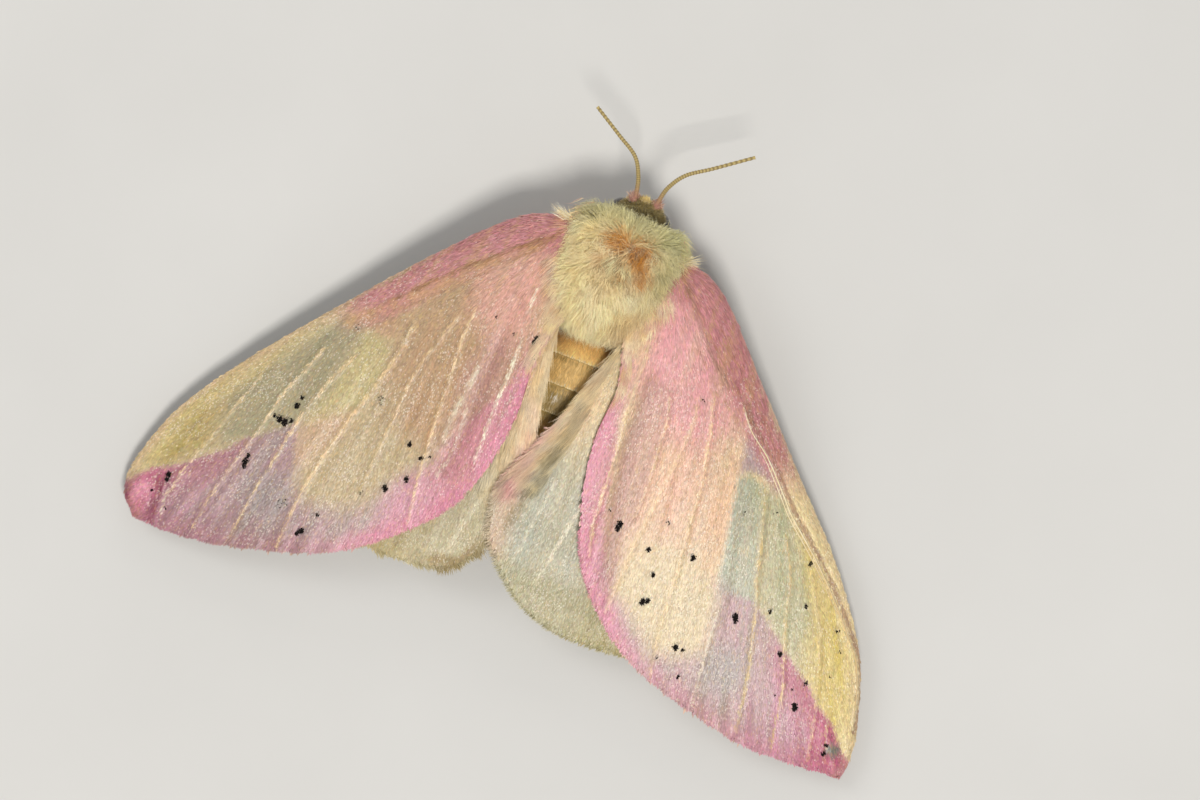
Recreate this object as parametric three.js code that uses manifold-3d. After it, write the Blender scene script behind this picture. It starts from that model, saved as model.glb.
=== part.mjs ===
// Rosy maple moth, Dryocampa rubicunda: a female at rest, life size.
// Millimetres. x runs to the moth's own left, y to its tail, z up, and the feet stand on z = 0.
// The body is drawn with its shoulders near x = 0 and y = 0, and the whole group is then set so
// that its origin is under the middle of the outline.

import * as THREE from 'three';
import { ParametricGeometry } from 'three/addons/geometries/ParametricGeometry.js';
import { mergeVertices } from 'three/addons/utils/BufferGeometryUtils.js';
import Module from 'manifold-3d';

// Driving dimensions
const OUTLINE_MIDDLE = { x: -0.25, y: 6.7 };
const WING_THICKNESS = 0.54;
const PARTING = 0.09;
const THORAX = { front: -1.4, back: 4.8, halfWidth: 2.88, middle: 3.95, above: 2.6, below: 2.5 };
const HEAD = { front: -2.12, back: 0.3, halfWidth: 1.3, middle: 3.1, above: 1.15, below: 1.3 };
const ABDOMEN = { front: 4.1, back: 13.7, halfWidth: 2.1, keelFront: 0.75, keelBack: 0.35 };
const EYE = { apart: 0.92, y: -1.18, z: 2.95, radius: 0.64 };
const PALP = { apart: 0.3, root: 0.3, tip: 0.23 };
const ANTENNA_RADIUS = 0.26;
const SCAPE_RADIUS = 0.3;
const LEG_RADIUS = { thigh: 0.42, shin: 0.34, foot: 0.27 };

// How far each pair of wings arches over the straight line from front edge to rear edge
const FORE_CROWN = { left: 0.75, right: 0.95 };
const HIND_CROWN = 0.35;

// The body's own line leans a little to the left as it runs back
const BODY_LINE = { x: -0.22, y: -2, lean: 0.045 };

// The crest of the abdomen, as y and z, sinking to a blunt end just clear of the ground
const ABDOMEN_CREST = [[4.1, 4.35], [5.6, 4.35], [7.2, 3.95], [9.2, 3.2], [11.4, 2.55], [13.7, 1.5]];

// Front and rear edge of each wing as [out, back, up] at the same stations from root to tip,
// where out is the distance from x = 0 on the wing's own side
const FOREWINGS = {
  left: {
    front: [
      [2.0, 0.1, 4.3], [4.6, 0.8, 3.9], [7.5, 3.4, 3.0], [10.5, 6.8, 2.2], [13.3, 10.2, 1.6],
      [15.5, 13.4, 1.2], [16.5, 16.2, 1.0], [16.3, 17.6, 0.95], [15.5, 18.7, 0.95],
    ],
    rear: [
      [1.2, 3.6, 5.0], [1.75, 6.2, 5.1], [1.65, 9.0, 4.85], [2.2, 12.0, 4.2], [3.7, 14.4, 3.2],
      [6.9, 17.0, 2.3], [11.3, 18.4, 1.5], [13.8, 18.75, 1.1], [15.5, 18.7, 0.95],
    ],
  },
  right: {
    front: [
      [2.0, 0.2, 4.3], [4.6, 0.65, 3.8], [7.6, 3.5, 2.8], [10.7, 6.7, 2.0], [13.5, 9.6, 1.45],
      [15.9, 12.9, 1.1], [16.9, 15.8, 0.95], [17.05, 17.3, 0.95], [16.95, 18.4, 0.95],
    ],
    rear: [
      [1.3, 3.4, 5.0], [1.9, 6.0, 5.1], [1.75, 8.6, 4.9], [2.2, 11.4, 4.35], [3.6, 14.4, 3.3],
      [6.7, 16.95, 2.3], [11.8, 18.4, 1.5], [14.6, 18.55, 1.1], [16.95, 18.4, 0.95],
    ],
  },
};

const HINDWINGS = {
  left: {
    front: [
      [1.8, 2.8, 4.1], [3.8, 4.4, 3.3], [5.8, 6.6, 2.6], [7.6, 9.0, 2.0],
      [9.0, 11.4, 1.6], [10.0, 13.6, 1.2], [9.4, 15.8, 1.0],
    ],
    rear: [
      [1.4, 4.2, 4.5], [1.0, 7.0, 4.6], [0.6, 9.8, 3.85], [0.7, 12.8, 3.0],
      [1.7, 15.5, 2.0], [4.8, 16.3, 1.5], [9.4, 15.8, 1.0],
    ],
  },
  right: {
    front: [
      [1.9, 2.6, 4.1], [3.9, 4.2, 3.3], [5.9, 6.4, 2.6], [7.7, 9.0, 2.0],
      [9.2, 11.4, 1.6], [10.2, 13.8, 1.2], [9.6, 16.4, 1.0],
    ],
    rear: [
      [1.5, 4.0, 4.5], [0.6, 6.6, 4.75], [-0.3, 9.2, 4.6], [-1.4, 12.0, 3.85],
      [-0.4, 14.8, 2.7], [3.1, 16.8, 1.9], [9.6, 16.4, 1.0],
    ],
  },
};

// Each leg from the underside of the thorax over the knee to the toe, as [out, back, up], where
// out is the distance from the body's own line
const LEGS = {
  front: [
    [0.8, 0.9, 1.9], [1.5, 0.5, 1.9], [2.1, 0.0, 2.1], [2.35, -0.2, 1.3],
    [2.35, 0.0, 0.42], [2.3, -0.5, 0.17], [2.2, -1.0, 0.17],
  ],
  middle: [
    [1.0, 2.0, 1.8], [2.0, 1.9, 2.2], [3.2, 1.9, 2.5], [3.6, 2.3, 1.4],
    [3.9, 2.7, 0.42], [4.3, 3.2, 0.17], [4.7, 3.7, 0.17],
  ],
  hind: [
    [1.3, 3.0, 1.9], [2.4, 3.5, 2.2], [3.2, 4.6, 2.5], [3.45, 6.2, 1.5],
    [3.7, 7.8, 0.42], [4.0, 8.8, 0.17], [4.3, 9.8, 0.17],
  ],
};

// Antennae and palps as [x, y, z], from inside the head outwards
const ANTENNAE = {
  left: [
    [0.3, -1.7, 3.75], [0.32, -2.05, 3.95], [0.5, -2.75, 4.2],
    [0.95, -3.5, 4.35], [1.9, -4.1, 4.3], [3.2, -4.9, 4.05],
  ],
  right: [
    [-0.65, -1.7, 3.75], [-0.7, -2.05, 3.95], [-0.88, -2.75, 4.2],
    [-1.4, -3.5, 4.35], [-2.4, -4.2, 4.3], [-3.9, -5.3, 4.0],
  ],
};
const PALP_LINE = [[-1.5, 2.1], [-1.95, 1.85], [-2.25, 2.0]];

const LOOKS = {
  wool: { color: '#dcc489', roughness: 1 },
  face: { color: '#c9b45f', roughness: 1 },
  belly: { color: '#d0a85e', roughness: 0.9 },
  eye: { color: '#17110f', roughness: 0.2 },
  antenna: { color: '#a5914f', roughness: 0.8 },
  forewing: { color: '#dfa9ab', roughness: 0.75 },
  hindwing: { color: '#d3cda0', roughness: 0.75 },
  leg: { color: '#d58a94', roughness: 0.9 },
};

const SIDES = { left: 1, right: -1 };
const MERGE_DISTANCE = 1e-4;

const wasm = await Module();
wasm.setup();

function bodyLine(y) {
  return BODY_LINE.x + BODY_LINE.lean * (y - BODY_LINE.y);
}

// A geometry as a closed solid that faces outwards, for cutting.
function toSolid(geometry) {
  const bare = geometry.clone();
  bare.deleteAttribute('normal');
  bare.deleteAttribute('uv');
  const merged = mergeVertices(bare, MERGE_DISTANCE);
  const corners = [...merged.index.array];
  const faces = [];
  for (let i = 0; i < corners.length; i += 3) {
    const [a, b, c] = corners.slice(i, i + 3);
    if (a !== b && b !== c && c !== a) faces.push([a, b, c]);
  }
  const build = (list) => new wasm.Manifold(new wasm.Mesh({
    numProp: 3,
    vertProperties: merged.attributes.position.array,
    triVerts: new Uint32Array(list.flat()),
  }));
  const solid = build(faces);
  return solid.volume() > 0 ? solid : build(faces.map(([a, b, c]) => [a, c, b]));
}

function toGeometry(solid) {
  const mesh = solid.getMesh();
  const geometry = new THREE.BufferGeometry();
  geometry.setAttribute('position', new THREE.BufferAttribute(mesh.vertProperties, 3));
  geometry.setIndex(new THREE.BufferAttribute(mesh.triVerts, 1));
  geometry.computeVertexNormals();
  return geometry;
}

// What is left of a solid outside its neighbours, of which only the largest body stays.
function trim(solid, ...neighbours) {
  const left = neighbours.reduce((whole, other) => whole.subtract(other), solid);
  const bodies = left.decompose();
  return bodies.sort((a, b) => b.volume() - a.volume())[0];
}

// A closed skin drawn through rings. ring(turn, along, target) gives one point: turn runs once
// round from 0 to 1, and along runs from 0 at the first ring to 1 at the last. A point in the
// middle of each end ring closes that end.
function loft(ring, sides, steps) {
  const spot = new THREE.Vector3();
  const skin = (u, v, target) => {
    const row = Math.round(v * (steps + 2)) - 1;
    const along = THREE.MathUtils.clamp(row / steps, 0, 1);
    if (row >= 0 && row <= steps) {
      ring(u % 1, along, target);
      return;
    }
    target.set(0, 0, 0);
    for (let i = 0; i < sides; i += 1) {
      ring(i / sides, along, spot);
      target.addScaledVector(spot, 1 / sides);
    }
  };
  return toSolid(new ParametricGeometry(skin, sides, steps + 2));
}

// Even steps drawn together towards both ends.
function easeEnds(along) {
  return 0.5 - 0.5 * Math.cos(Math.PI * along);
}

// The girth of a rounded form from 0 at one end to 1 at its widest and back. blunt above 2
// squares the ends, and peak says where along the form the widest place lies.
function swell(along, blunt, peak) {
  const place = along ** (Math.log(0.5) / Math.log(peak));
  return Math.max(0, 1 - Math.abs(2 * place - 1) ** blunt) ** (1 / blunt);
}

// An egg-shaped stretch of the body, its rings upright, grown outwards by grow.
function bodyStretch(size, blunt, peak, sides, steps, grow) {
  const ring = (turn, along, target) => {
    const even = easeEnds(along);
    const y = THREE.MathUtils.lerp(size.front - grow, size.back + grow, even);
    const girth = swell(even, blunt, peak);
    const angle = 2 * Math.PI * turn;
    const reach = Math.sin(angle) > 0 ? size.above : size.below;
    target.set(
      bodyLine(y) + (size.halfWidth + grow) * girth * Math.cos(angle),
      y,
      size.middle + (reach + grow) * girth * Math.sin(angle),
    );
  };
  return loft(ring, sides, steps);
}

function thorax(grow) {
  return bodyStretch(THORAX, 2.7, 0.4, 26, 16, grow);
}

function head(grow) {
  return bodyStretch(HEAD, 2.3, 0.48, 18, 12, grow);
}

function abdomen() {
  const blunt = 3.4;
  const peak = 0.42;
  const taper = 0.25;
  const crest = new THREE.SplineCurve(ABDOMEN_CREST.map(([y, z]) => new THREE.Vector2(y, z)));
  const ring = (turn, along, target) => {
    const even = easeEnds(along);
    const y = THREE.MathUtils.lerp(ABDOMEN.front, ABDOMEN.back, even);
    const top = crest.getPoint(even).y;
    const keel = THREE.MathUtils.lerp(ABDOMEN.keelFront, ABDOMEN.keelBack, even);
    const girth = swell(even, blunt, peak);
    const angle = 2 * Math.PI * turn;
    target.set(
      bodyLine(y) + ABDOMEN.halfWidth * girth * (1 - taper * even) * Math.cos(angle),
      y,
      (top + keel) / 2 + ((top - keel) / 2) * girth * Math.sin(angle),
    );
  };
  return loft(ring, 22, 24);
}

function eye(side, grow) {
  const ball = new THREE.SphereGeometry(EYE.radius + grow, 14, 10);
  ball.translate(bodyLine(EYE.y) + side * EYE.apart, EYE.y, EYE.z);
  return toSolid(ball);
}

// A limb drawn along a curve, round in section with slightly rounded ends, its radius given by
// radius(along). What would pass below the ground is flattened onto it.
function limb(points, radius, sides, steps) {
  const endSize = 0.45;
  const endReach = 20;
  const curve = new THREE.CatmullRomCurve3(points.map((p) => new THREE.Vector3(...p)));
  const frames = curve.computeFrenetFrames(steps);
  const ring = (turn, along, target) => {
    const i = Math.round(along * steps);
    const angle = 2 * Math.PI * turn;
    const ends = Math.abs(2 * along - 1) ** endReach;
    const r = radius(along) * THREE.MathUtils.lerp(1, endSize, ends);
    curve.getPointAt(along, target);
    target.addScaledVector(frames.normals[i], r * Math.cos(angle));
    target.addScaledVector(frames.binormals[i], r * Math.sin(angle));
    target.z = Math.max(0, target.z);
  };
  return loft(ring, sides, steps);
}

function leg(side, name) {
  const points = LEGS[name].map(([out, back, up]) => [bodyLine(back) + side * out, back, up]);
  const { thigh, shin, foot } = LEG_RADIUS;
  const knee = 0.45;
  const ankle = 0.75;
  const radius = (along) => (along < knee
    ? THREE.MathUtils.mapLinear(along, 0, knee, thigh, shin)
    : THREE.MathUtils.mapLinear(Math.min(along, ankle), knee, ankle, shin, foot));
  return limb(points, radius, 8, 18);
}

function antenna(name) {
  const scapeEnd = 0.14;
  const radius = (along) => (along < scapeEnd ? SCAPE_RADIUS : ANTENNA_RADIUS);
  return limb(ANTENNAE[name], radius, 8, 20);
}

function palp(side) {
  const x = bodyLine(HEAD.front) + side * PALP.apart;
  const points = PALP_LINE.map(([y, z]) => [x, y, z]);
  return limb(points, (along) => THREE.MathUtils.lerp(PALP.root, PALP.tip, along), 8, 6);
}

// How high a wing arches at across, which is 0 on its front edge and 1 on its rear edge. The
// ridge lies near the front edge, so that the wing falls away steeply there.
function arch(across) {
  return Math.sin(Math.PI * across ** 0.55);
}

// How much of the crown a wing has from its root at 0 to its tip at 1.
function crownAlong(along) {
  return Math.sin(Math.PI * along ** 0.7) ** 0.6;
}

// A wing drawn through flat rings from front edge to rear edge, even in thickness and rounded
// along its edges. Its upper side passes through the edges' heights.
function wing(side, edges, crown, sides, steps) {
  const edgeRounding = 0.35;
  const tipThinning = 0.5;
  const place = ([out, back, up]) => new THREE.Vector3(side * out, back, up);
  const front = new THREE.CatmullRomCurve3(edges.front.map(place), false, 'catmullrom');
  const rear = new THREE.CatmullRomCurve3(edges.rear.map(place), false, 'catmullrom');
  const near = new THREE.Vector3();
  const ring = (turn, along, target) => {
    const around = Math.sin(2 * Math.PI * turn);
    const across = easeEnds(2 * turn);
    const face = Math.sign(around) * Math.abs(around) ** edgeRounding;
    const thickness = WING_THICKNESS * (1 - tipThinning * along ** 14);
    front.getPoint(along, near);
    rear.getPoint(along, target);
    target.lerp(near, 1 - across);
    target.z += crown * arch(across) * crownAlong(along);
    target.z += 0.5 * (face * thickness - WING_THICKNESS);
  };
  return loft(ring, sides, steps);
}

const moth = new THREE.Group();
moth.position.set(-OUTLINE_MIDDLE.x, -OUTLINE_MIDDLE.y, 0);

function add(name, solid, look) {
  const material = new THREE.MeshStandardMaterial({ ...LOOKS[look], metalness: 0 });
  const mesh = new THREE.Mesh(toGeometry(solid), material);
  mesh.name = name;
  moth.add(mesh);
}

// Neighbours grown by the parting gap, for cutting what grows out of them
const chest = thorax(PARTING);
const skull = head(PARTING);
const eyeballs = Object.values(SIDES).map((side) => eye(side, PARTING));

add('thorax', thorax(0), 'wool');
add('head', trim(head(0), chest, ...eyeballs), 'face');
add('abdomen', trim(abdomen(), chest), 'belly');

for (const [name, side] of Object.entries(SIDES)) {
  add(`eye_${name}`, trim(eye(side, 0), chest), 'eye');
  add(`antenna_${name}`, trim(antenna(name), skull), 'antenna');
  add(`palp_${name}`, trim(palp(side), skull), 'leg');
  for (const pair of Object.keys(LEGS)) {
    add(`leg_${pair}_${name}`, trim(leg(side, pair), chest), 'leg');
  }
  const fore = wing(side, FOREWINGS[name], FORE_CROWN[name], 22, 24);
  const hind = wing(side, HINDWINGS[name], HIND_CROWN, 18, 18);
  add(`forewing_${name}`, trim(fore, chest), 'forewing');
  add(`hindwing_${name}`, trim(hind, chest), 'hindwing');
}

export default moth;
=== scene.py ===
from functools import partial
import itertools
import math

import bpy
import numpy as np
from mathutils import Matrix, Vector
from mathutils.kdtree import KDTree


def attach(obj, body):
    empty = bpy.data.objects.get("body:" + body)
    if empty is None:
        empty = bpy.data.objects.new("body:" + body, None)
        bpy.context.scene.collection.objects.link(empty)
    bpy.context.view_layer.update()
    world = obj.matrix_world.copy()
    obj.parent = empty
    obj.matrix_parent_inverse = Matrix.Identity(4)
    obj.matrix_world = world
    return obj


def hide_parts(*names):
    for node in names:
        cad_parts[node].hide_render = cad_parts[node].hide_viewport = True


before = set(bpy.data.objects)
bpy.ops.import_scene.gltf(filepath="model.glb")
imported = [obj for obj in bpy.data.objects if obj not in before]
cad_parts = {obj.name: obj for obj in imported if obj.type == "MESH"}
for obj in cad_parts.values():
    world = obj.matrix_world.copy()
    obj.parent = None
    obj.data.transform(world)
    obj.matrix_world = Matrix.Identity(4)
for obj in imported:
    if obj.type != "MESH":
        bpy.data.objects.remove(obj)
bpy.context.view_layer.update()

# Shapes are worked out in millimetres round the shoulders: x to the moth's own left, y to its
# tail, z up. A finished piece is brought to metres and set over the middle of the outline.
MM = 0.001
SET_OVER = np.array([0.25, -6.7, 0.0])

# The body, as the solids have it. The skin lies inside that outline by the depth of its coat.
THORAX = {"front": -1.4, "back": 4.8, "half_width": 2.88, "middle": 3.95, "above": 2.6,
          "below": 2.5, "blunt": 2.7, "peak": 0.4, "coat": 0.75}
HEAD = {"front": -2.12, "back": 0.3, "half_width": 1.3, "middle": 3.1, "above": 1.15,
        "below": 1.3, "blunt": 2.3, "peak": 0.48, "coat": 0.3}
ABDOMEN = {"front": 4.1, "back": 13.7, "half_width": 2.1, "keel_front": 0.75,
           "keel_back": 0.35, "blunt": 3.4, "peak": 0.42, "taper": 0.25, "coat": 0.28}
ABDOMEN_CREST = [(4.1, 4.35), (5.6, 4.35), (7.2, 3.95), (9.2, 3.2), (11.4, 2.55), (13.7, 1.5)]
BODY_LINE = {"x": -0.22, "y": -2.0, "lean": 0.045}
EYE = {"apart": 0.87, "y": -1.14, "z": 2.88, "radius": 0.57}
SIDES = {"left": 1, "right": -1}

LEGS = {
    "front": [(0.8, 0.9, 1.9), (1.5, 0.5, 1.9), (2.0, 0.1, 2.1), (2.15, 0.0, 1.3), (2.15, 0.1, 0.42),
        (2.05, -0.3, 0.17), (1.9, -0.8, 0.17)],
    "middle": [(1.0, 2.0, 1.8), (2.0, 1.9, 2.2), (3.2, 1.9, 2.5), (3.6, 2.3, 1.4), (3.9, 2.7, 0.42),
        (4.3, 3.2, 0.17), (4.7, 3.7, 0.17)],
    "hind": [(1.3, 3.0, 1.9), (2.4, 3.5, 2.2), (3.2, 4.6, 2.5), (3.45, 6.2, 1.5), (3.7, 7.8, 0.42),
        (4.0, 8.8, 0.17), (4.3, 9.8, 0.17)],
}
ANTENNAE = {
    "left": [(0.3, -1.7, 3.75), (0.32, -2.05, 3.95), (0.5, -2.75, 4.2), (0.95, -3.5, 4.35),
        (1.9, -4.1, 4.3), (3.2, -4.9, 4.05)],
    "right": [(-0.65, -1.7, 3.75), (-0.7, -2.05, 3.95), (-0.88, -2.75, 4.2), (-1.4, -3.5, 4.35),
        (-2.4, -4.2, 4.3), (-3.9, -5.3, 4.0)],
}
PALP_LINE = [(-1.4, 2.1), (-1.75, 1.85), (-1.92, 1.62)]
PALP_ROOT = (-1.0, 2.3)

# Front and rear edge of each wing as (out, back, up) from root to tip, and the rise of its arch
WINGS = {
    "forewing_left": {
        "side": 1, "crown": 0.75,
        "front": [(2.0, -0.35, 4.3), (4.6, 0.58, 3.9), (7.5, 3.35, 3.0), (10.5, 6.8, 2.2),
            (13.3, 10.2, 1.6), (15.5, 13.4, 1.2), (16.5, 16.2, 1.0), (16.5, 17.75, 0.95),
            (15.7, 18.75, 0.95)],
        "rear": [(1.2, 3.6, 5.0), (1.75, 6.2, 5.1), (1.65, 9.0, 4.85), (2.2, 12.0, 4.2), (3.7, 14.4, 3.2),
            (6.9, 17.0, 2.3), (11.3, 18.4, 1.5), (13.8, 18.75, 1.1), (15.7, 18.75, 0.95)],
    },
    "forewing_right": {
        "side": -1, "crown": 0.95,
        "front": [(2.0, -0.3, 4.3), (4.6, 0.5, 3.8), (7.6, 3.45, 2.8), (10.7, 6.7, 2.0), (13.5, 9.6, 1.45),
            (15.9, 12.9, 1.1), (16.9, 15.8, 0.95), (17.15, 17.4, 0.95), (17.02, 18.4, 0.95)],
        "rear": [(1.3, 3.4, 5.0), (1.9, 6.0, 5.1), (1.75, 8.6, 4.9), (2.2, 11.4, 4.35), (3.6, 14.4, 3.3),
            (6.7, 16.95, 2.3), (11.8, 18.4, 1.5), (14.6, 18.5, 1.1), (17.02, 18.4, 0.95)],
    },
    "hindwing_left": {
        "side": 1, "crown": 0.7,
        "front": [(1.8, 2.8, 4.2), (3.8, 4.4, 3.6), (5.8, 6.6, 2.9), (7.6, 9.0, 2.25), (9.0, 11.4, 1.7),
            (10.0, 13.6, 1.2), (9.4, 15.8, 1.0)],
        "rear": [(1.4, 4.2, 4.7), (1.0, 7.0, 4.9), (0.6, 9.8, 4.5), (0.7, 12.8, 3.55), (1.7, 15.5, 2.35),
            (4.8, 16.3, 1.5), (9.4, 15.8, 1.0)],
    },
    "hindwing_right": {
        "side": -1, "crown": 0.6,
        "front": [(1.9, 2.6, 4.2), (3.9, 4.2, 3.6), (5.9, 6.4, 2.9), (7.7, 9.0, 2.25), (9.2, 11.4, 1.7),
            (10.2, 13.8, 1.2), (9.6, 16.4, 1.0)],
        "rear": [(1.5, 4.0, 4.5), (0.6, 6.6, 4.8), (-0.3, 9.2, 4.8), (-1.4, 12.0, 4.15), (-0.4, 14.8, 3.0),
            (3.1, 16.8, 1.9), (9.6, 16.4, 1.0)],
    },
}

# Lines on the forewings: paint, width, strength, and points as (out, back)
LINES = {
    "left": [
        ("gold", 0.55, 0.6, [(3.4, 1.5), (5.3, 3.1), (6.5, 4.3), (7.5, 5.3), (8.6, 6.4), (9.8, 7.5)]),
        ("rust", 0.16, 0.85, [(3.0, 1.0), (4.4, 2.1), (6.2, 3.7), (7.6, 5.1), (9.2, 6.7)]),
        ("rust", 0.1, 0.5, [(3.6, 1.9), (4.8, 3.1), (6.4, 4.7), (8.0, 6.2)]),
        ("rust", 0.16, 0.75, [(2.7, 0.7), (3.1, 1.3), (3.6, 1.9)]),
        # Painted shade beside the raised pale vein, in dark mauve
        ("hollow_shade_mauve", 0.14, 0.7, [(2.1, 5.6), (2.15, 7.6), (2.3, 9.4)]),
        ("vein_cream", 0.09, 0.9, [(2.8, 3.3), (2.8, 4.5)]),
        ("vein_cream", 0.11, 1.0, [(2.65, 5.7), (2.65, 7.2), (2.7, 8.4), (2.7, 11.2)]),
        # Broad pale line: partly a vein, partly painted sheen
        ("vein_cream", 0.22, 0.6, [(3.95, 7.4), (4.2, 9.2), (4.3, 10.8)]),
        ("vein_cream", 0.1, 0.5, [(3.8, 9.1), (3.7, 11.1), (4.0, 12.4)]),
        ("vein_peach", 0.11, 0.8, [(4.95, 5.0), (5.05, 6.5), (4.95, 8.4), (4.85, 10.7), (4.7, 12.9),
            (4.45, 14.7)]),
        ("vein_peach", 0.09, 0.75, [(5.5, 5.4), (6.2, 7.5), (6.5, 8.9), (6.6, 10.6), (6.8, 12.9),
            (6.8, 14.1)]),
        ("vein_peach", 0.14, 0.9, [(7.2, 6.6), (7.55, 8.7), (8.0, 10.2), (8.35, 11.3), (8.8, 13.1),
            (9.2, 15.0), (9.35, 16.6), (9.4, 17.8)]),
        ("vein_peach", 0.11, 0.85, [(9.1, 8.8), (9.9, 10.5), (10.3, 11.7), (10.5, 12.6), (10.8, 14.2),
            (11.15, 15.8), (11.45, 18.2)]),
        ("vein_peach", 0.1, 0.8, [(10.5, 9.0), (11.45, 11.4), (11.85, 13.2), (12.5, 15.4), (13.0, 17.3),
            (13.1, 18.4)]),
        ("vein_peach", 0.1, 0.65, [(12.6, 11.0), (13.4, 13.2), (13.8, 14.5), (14.3, 15.9), (14.6, 17.3)]),
        ("vein_peach", 0.09, 0.4, [(14.2, 13.4), (14.7, 15.2)]),
        # Dark crimson painted shade in the folds of the curled tip
        ("tip_fold_shade", 0.2, 0.8, [(15.1, 16.9), (15.0, 17.6), (14.95, 18.7)]),
        ("tip_fold_shade", 0.34, 0.9, [(16.45, 17.7), (16.2, 18.3), (15.8, 18.75)]),
        ("vein_cream", 0.09, 0.6, [(14.55, 16.9), (14.7, 17.5), (14.6, 18.2)]),
    ],
    "right": [
        ("rust", 0.12, 0.6, [(3.2, 1.0), (4.6, 2.3), (5.8, 3.5), (7.2, 4.7), (8.0, 5.6)]),
        ("rust", 0.1, 0.5, [(3.0, 1.5), (4.4, 3.1), (6.0, 4.6), (7.6, 5.9)]),
        ("rust", 0.14, 0.4, [(4.6, 1.5), (6.6, 3.5), (8.4, 5.2), (9.6, 6.5)]),
        # Broad pale line: partly a vein, partly painted sheen along it
        ("vein_peach", 0.18, 0.5, [(5.4, 5.6), (5.55, 6.3), (5.3, 9.4), (5.0, 12.0), (4.9, 15.2)]),
        ("vein_peach", 0.1, 0.6, [(4.1, 5.4), (4.4, 6.6), (4.65, 9.4), (4.6, 11.0)]),
        ("vein_peach", 0.13, 0.8, [(5.9, 4.8), (6.3, 6.3), (6.8, 8.6), (7.0, 11.0), (7.15, 12.6),
            (7.35, 15.2), (7.7, 17.2)]),
        ("vein_peach", 0.11, 0.85, [(2.5, 3.2), (2.6, 5.0), (2.65, 6.8), (2.85, 8.2), (2.95, 10.0),
            (3.05, 12.0), (3.4, 13.2)]),
        ("vein_gold", 0.14, 0.85, [(9.5, 7.9), (9.9, 9.4), (10.2, 10.4), (10.5, 11.65), (10.9, 12.65),
            (11.2, 14.0), (11.55, 15.2), (11.85, 16.75), (12.05, 18.1)]),
        ("vein_gold", 0.11, 0.8, [(11.0, 9.4), (11.55, 10.4), (11.95, 11.3), (12.25, 12.65), (12.85, 14.5),
            (13.3, 15.75), (13.5, 17.05), (13.7, 18.2)]),
        ("vein_gold", 0.1, 0.6, [(12.6, 10.4), (13.5, 12.0), (13.9, 12.65), (14.3, 14.0), (14.9, 15.85),
            (15.2, 17.25), (15.4, 18.2)]),
        ("vein_cream", 0.11, 0.7, [(9.45, 13.6), (9.55, 15.2), (9.7, 16.25), (9.9, 17.9)]),
        ("vein_peach", 0.3, 0.6, [(8.2, 7.7), (8.9, 7.45), (9.6, 7.6)]),
        ("vein_gold", 0.09, 0.6, [(15.5, 15.9), (15.75, 16.9), (15.95, 17.4)]),
        ("rust", 0.26, 0.9, [(2.6, 0.35), (3.0, 0.8), (3.3, 1.2)]),
        ("brown", 0.2, 0.8, [(3.1, 0.9), (4.2, 2.2), (5.2, 3.3), (6.4, 4.3)]),
    ],
}
# The pale double fold that runs beside the right forewing's front edge
FOLD = [(7.3, 4.9), (8.0, 5.75), (9.1, 6.6), (10.3, 7.85), (10.9, 8.5), (11.85, 9.3), (12.55, 9.9),
    (13.3, 10.6), (13.9, 11.2), (14.5, 11.85), (15.1, 12.55), (15.75, 13.3), (16.15, 14.1), (16.45, 15.0),
    (16.7, 16.2)]
# Where the right forewing's peach root ends and the grey begins
WARM_EDGE = [(8.0, 6.2), (8.2, 7.7), (8.5, 9.5), (9.0, 12.0), (9.3, 13.0), (9.6, 15.2), (9.8, 17.0)]

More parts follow.
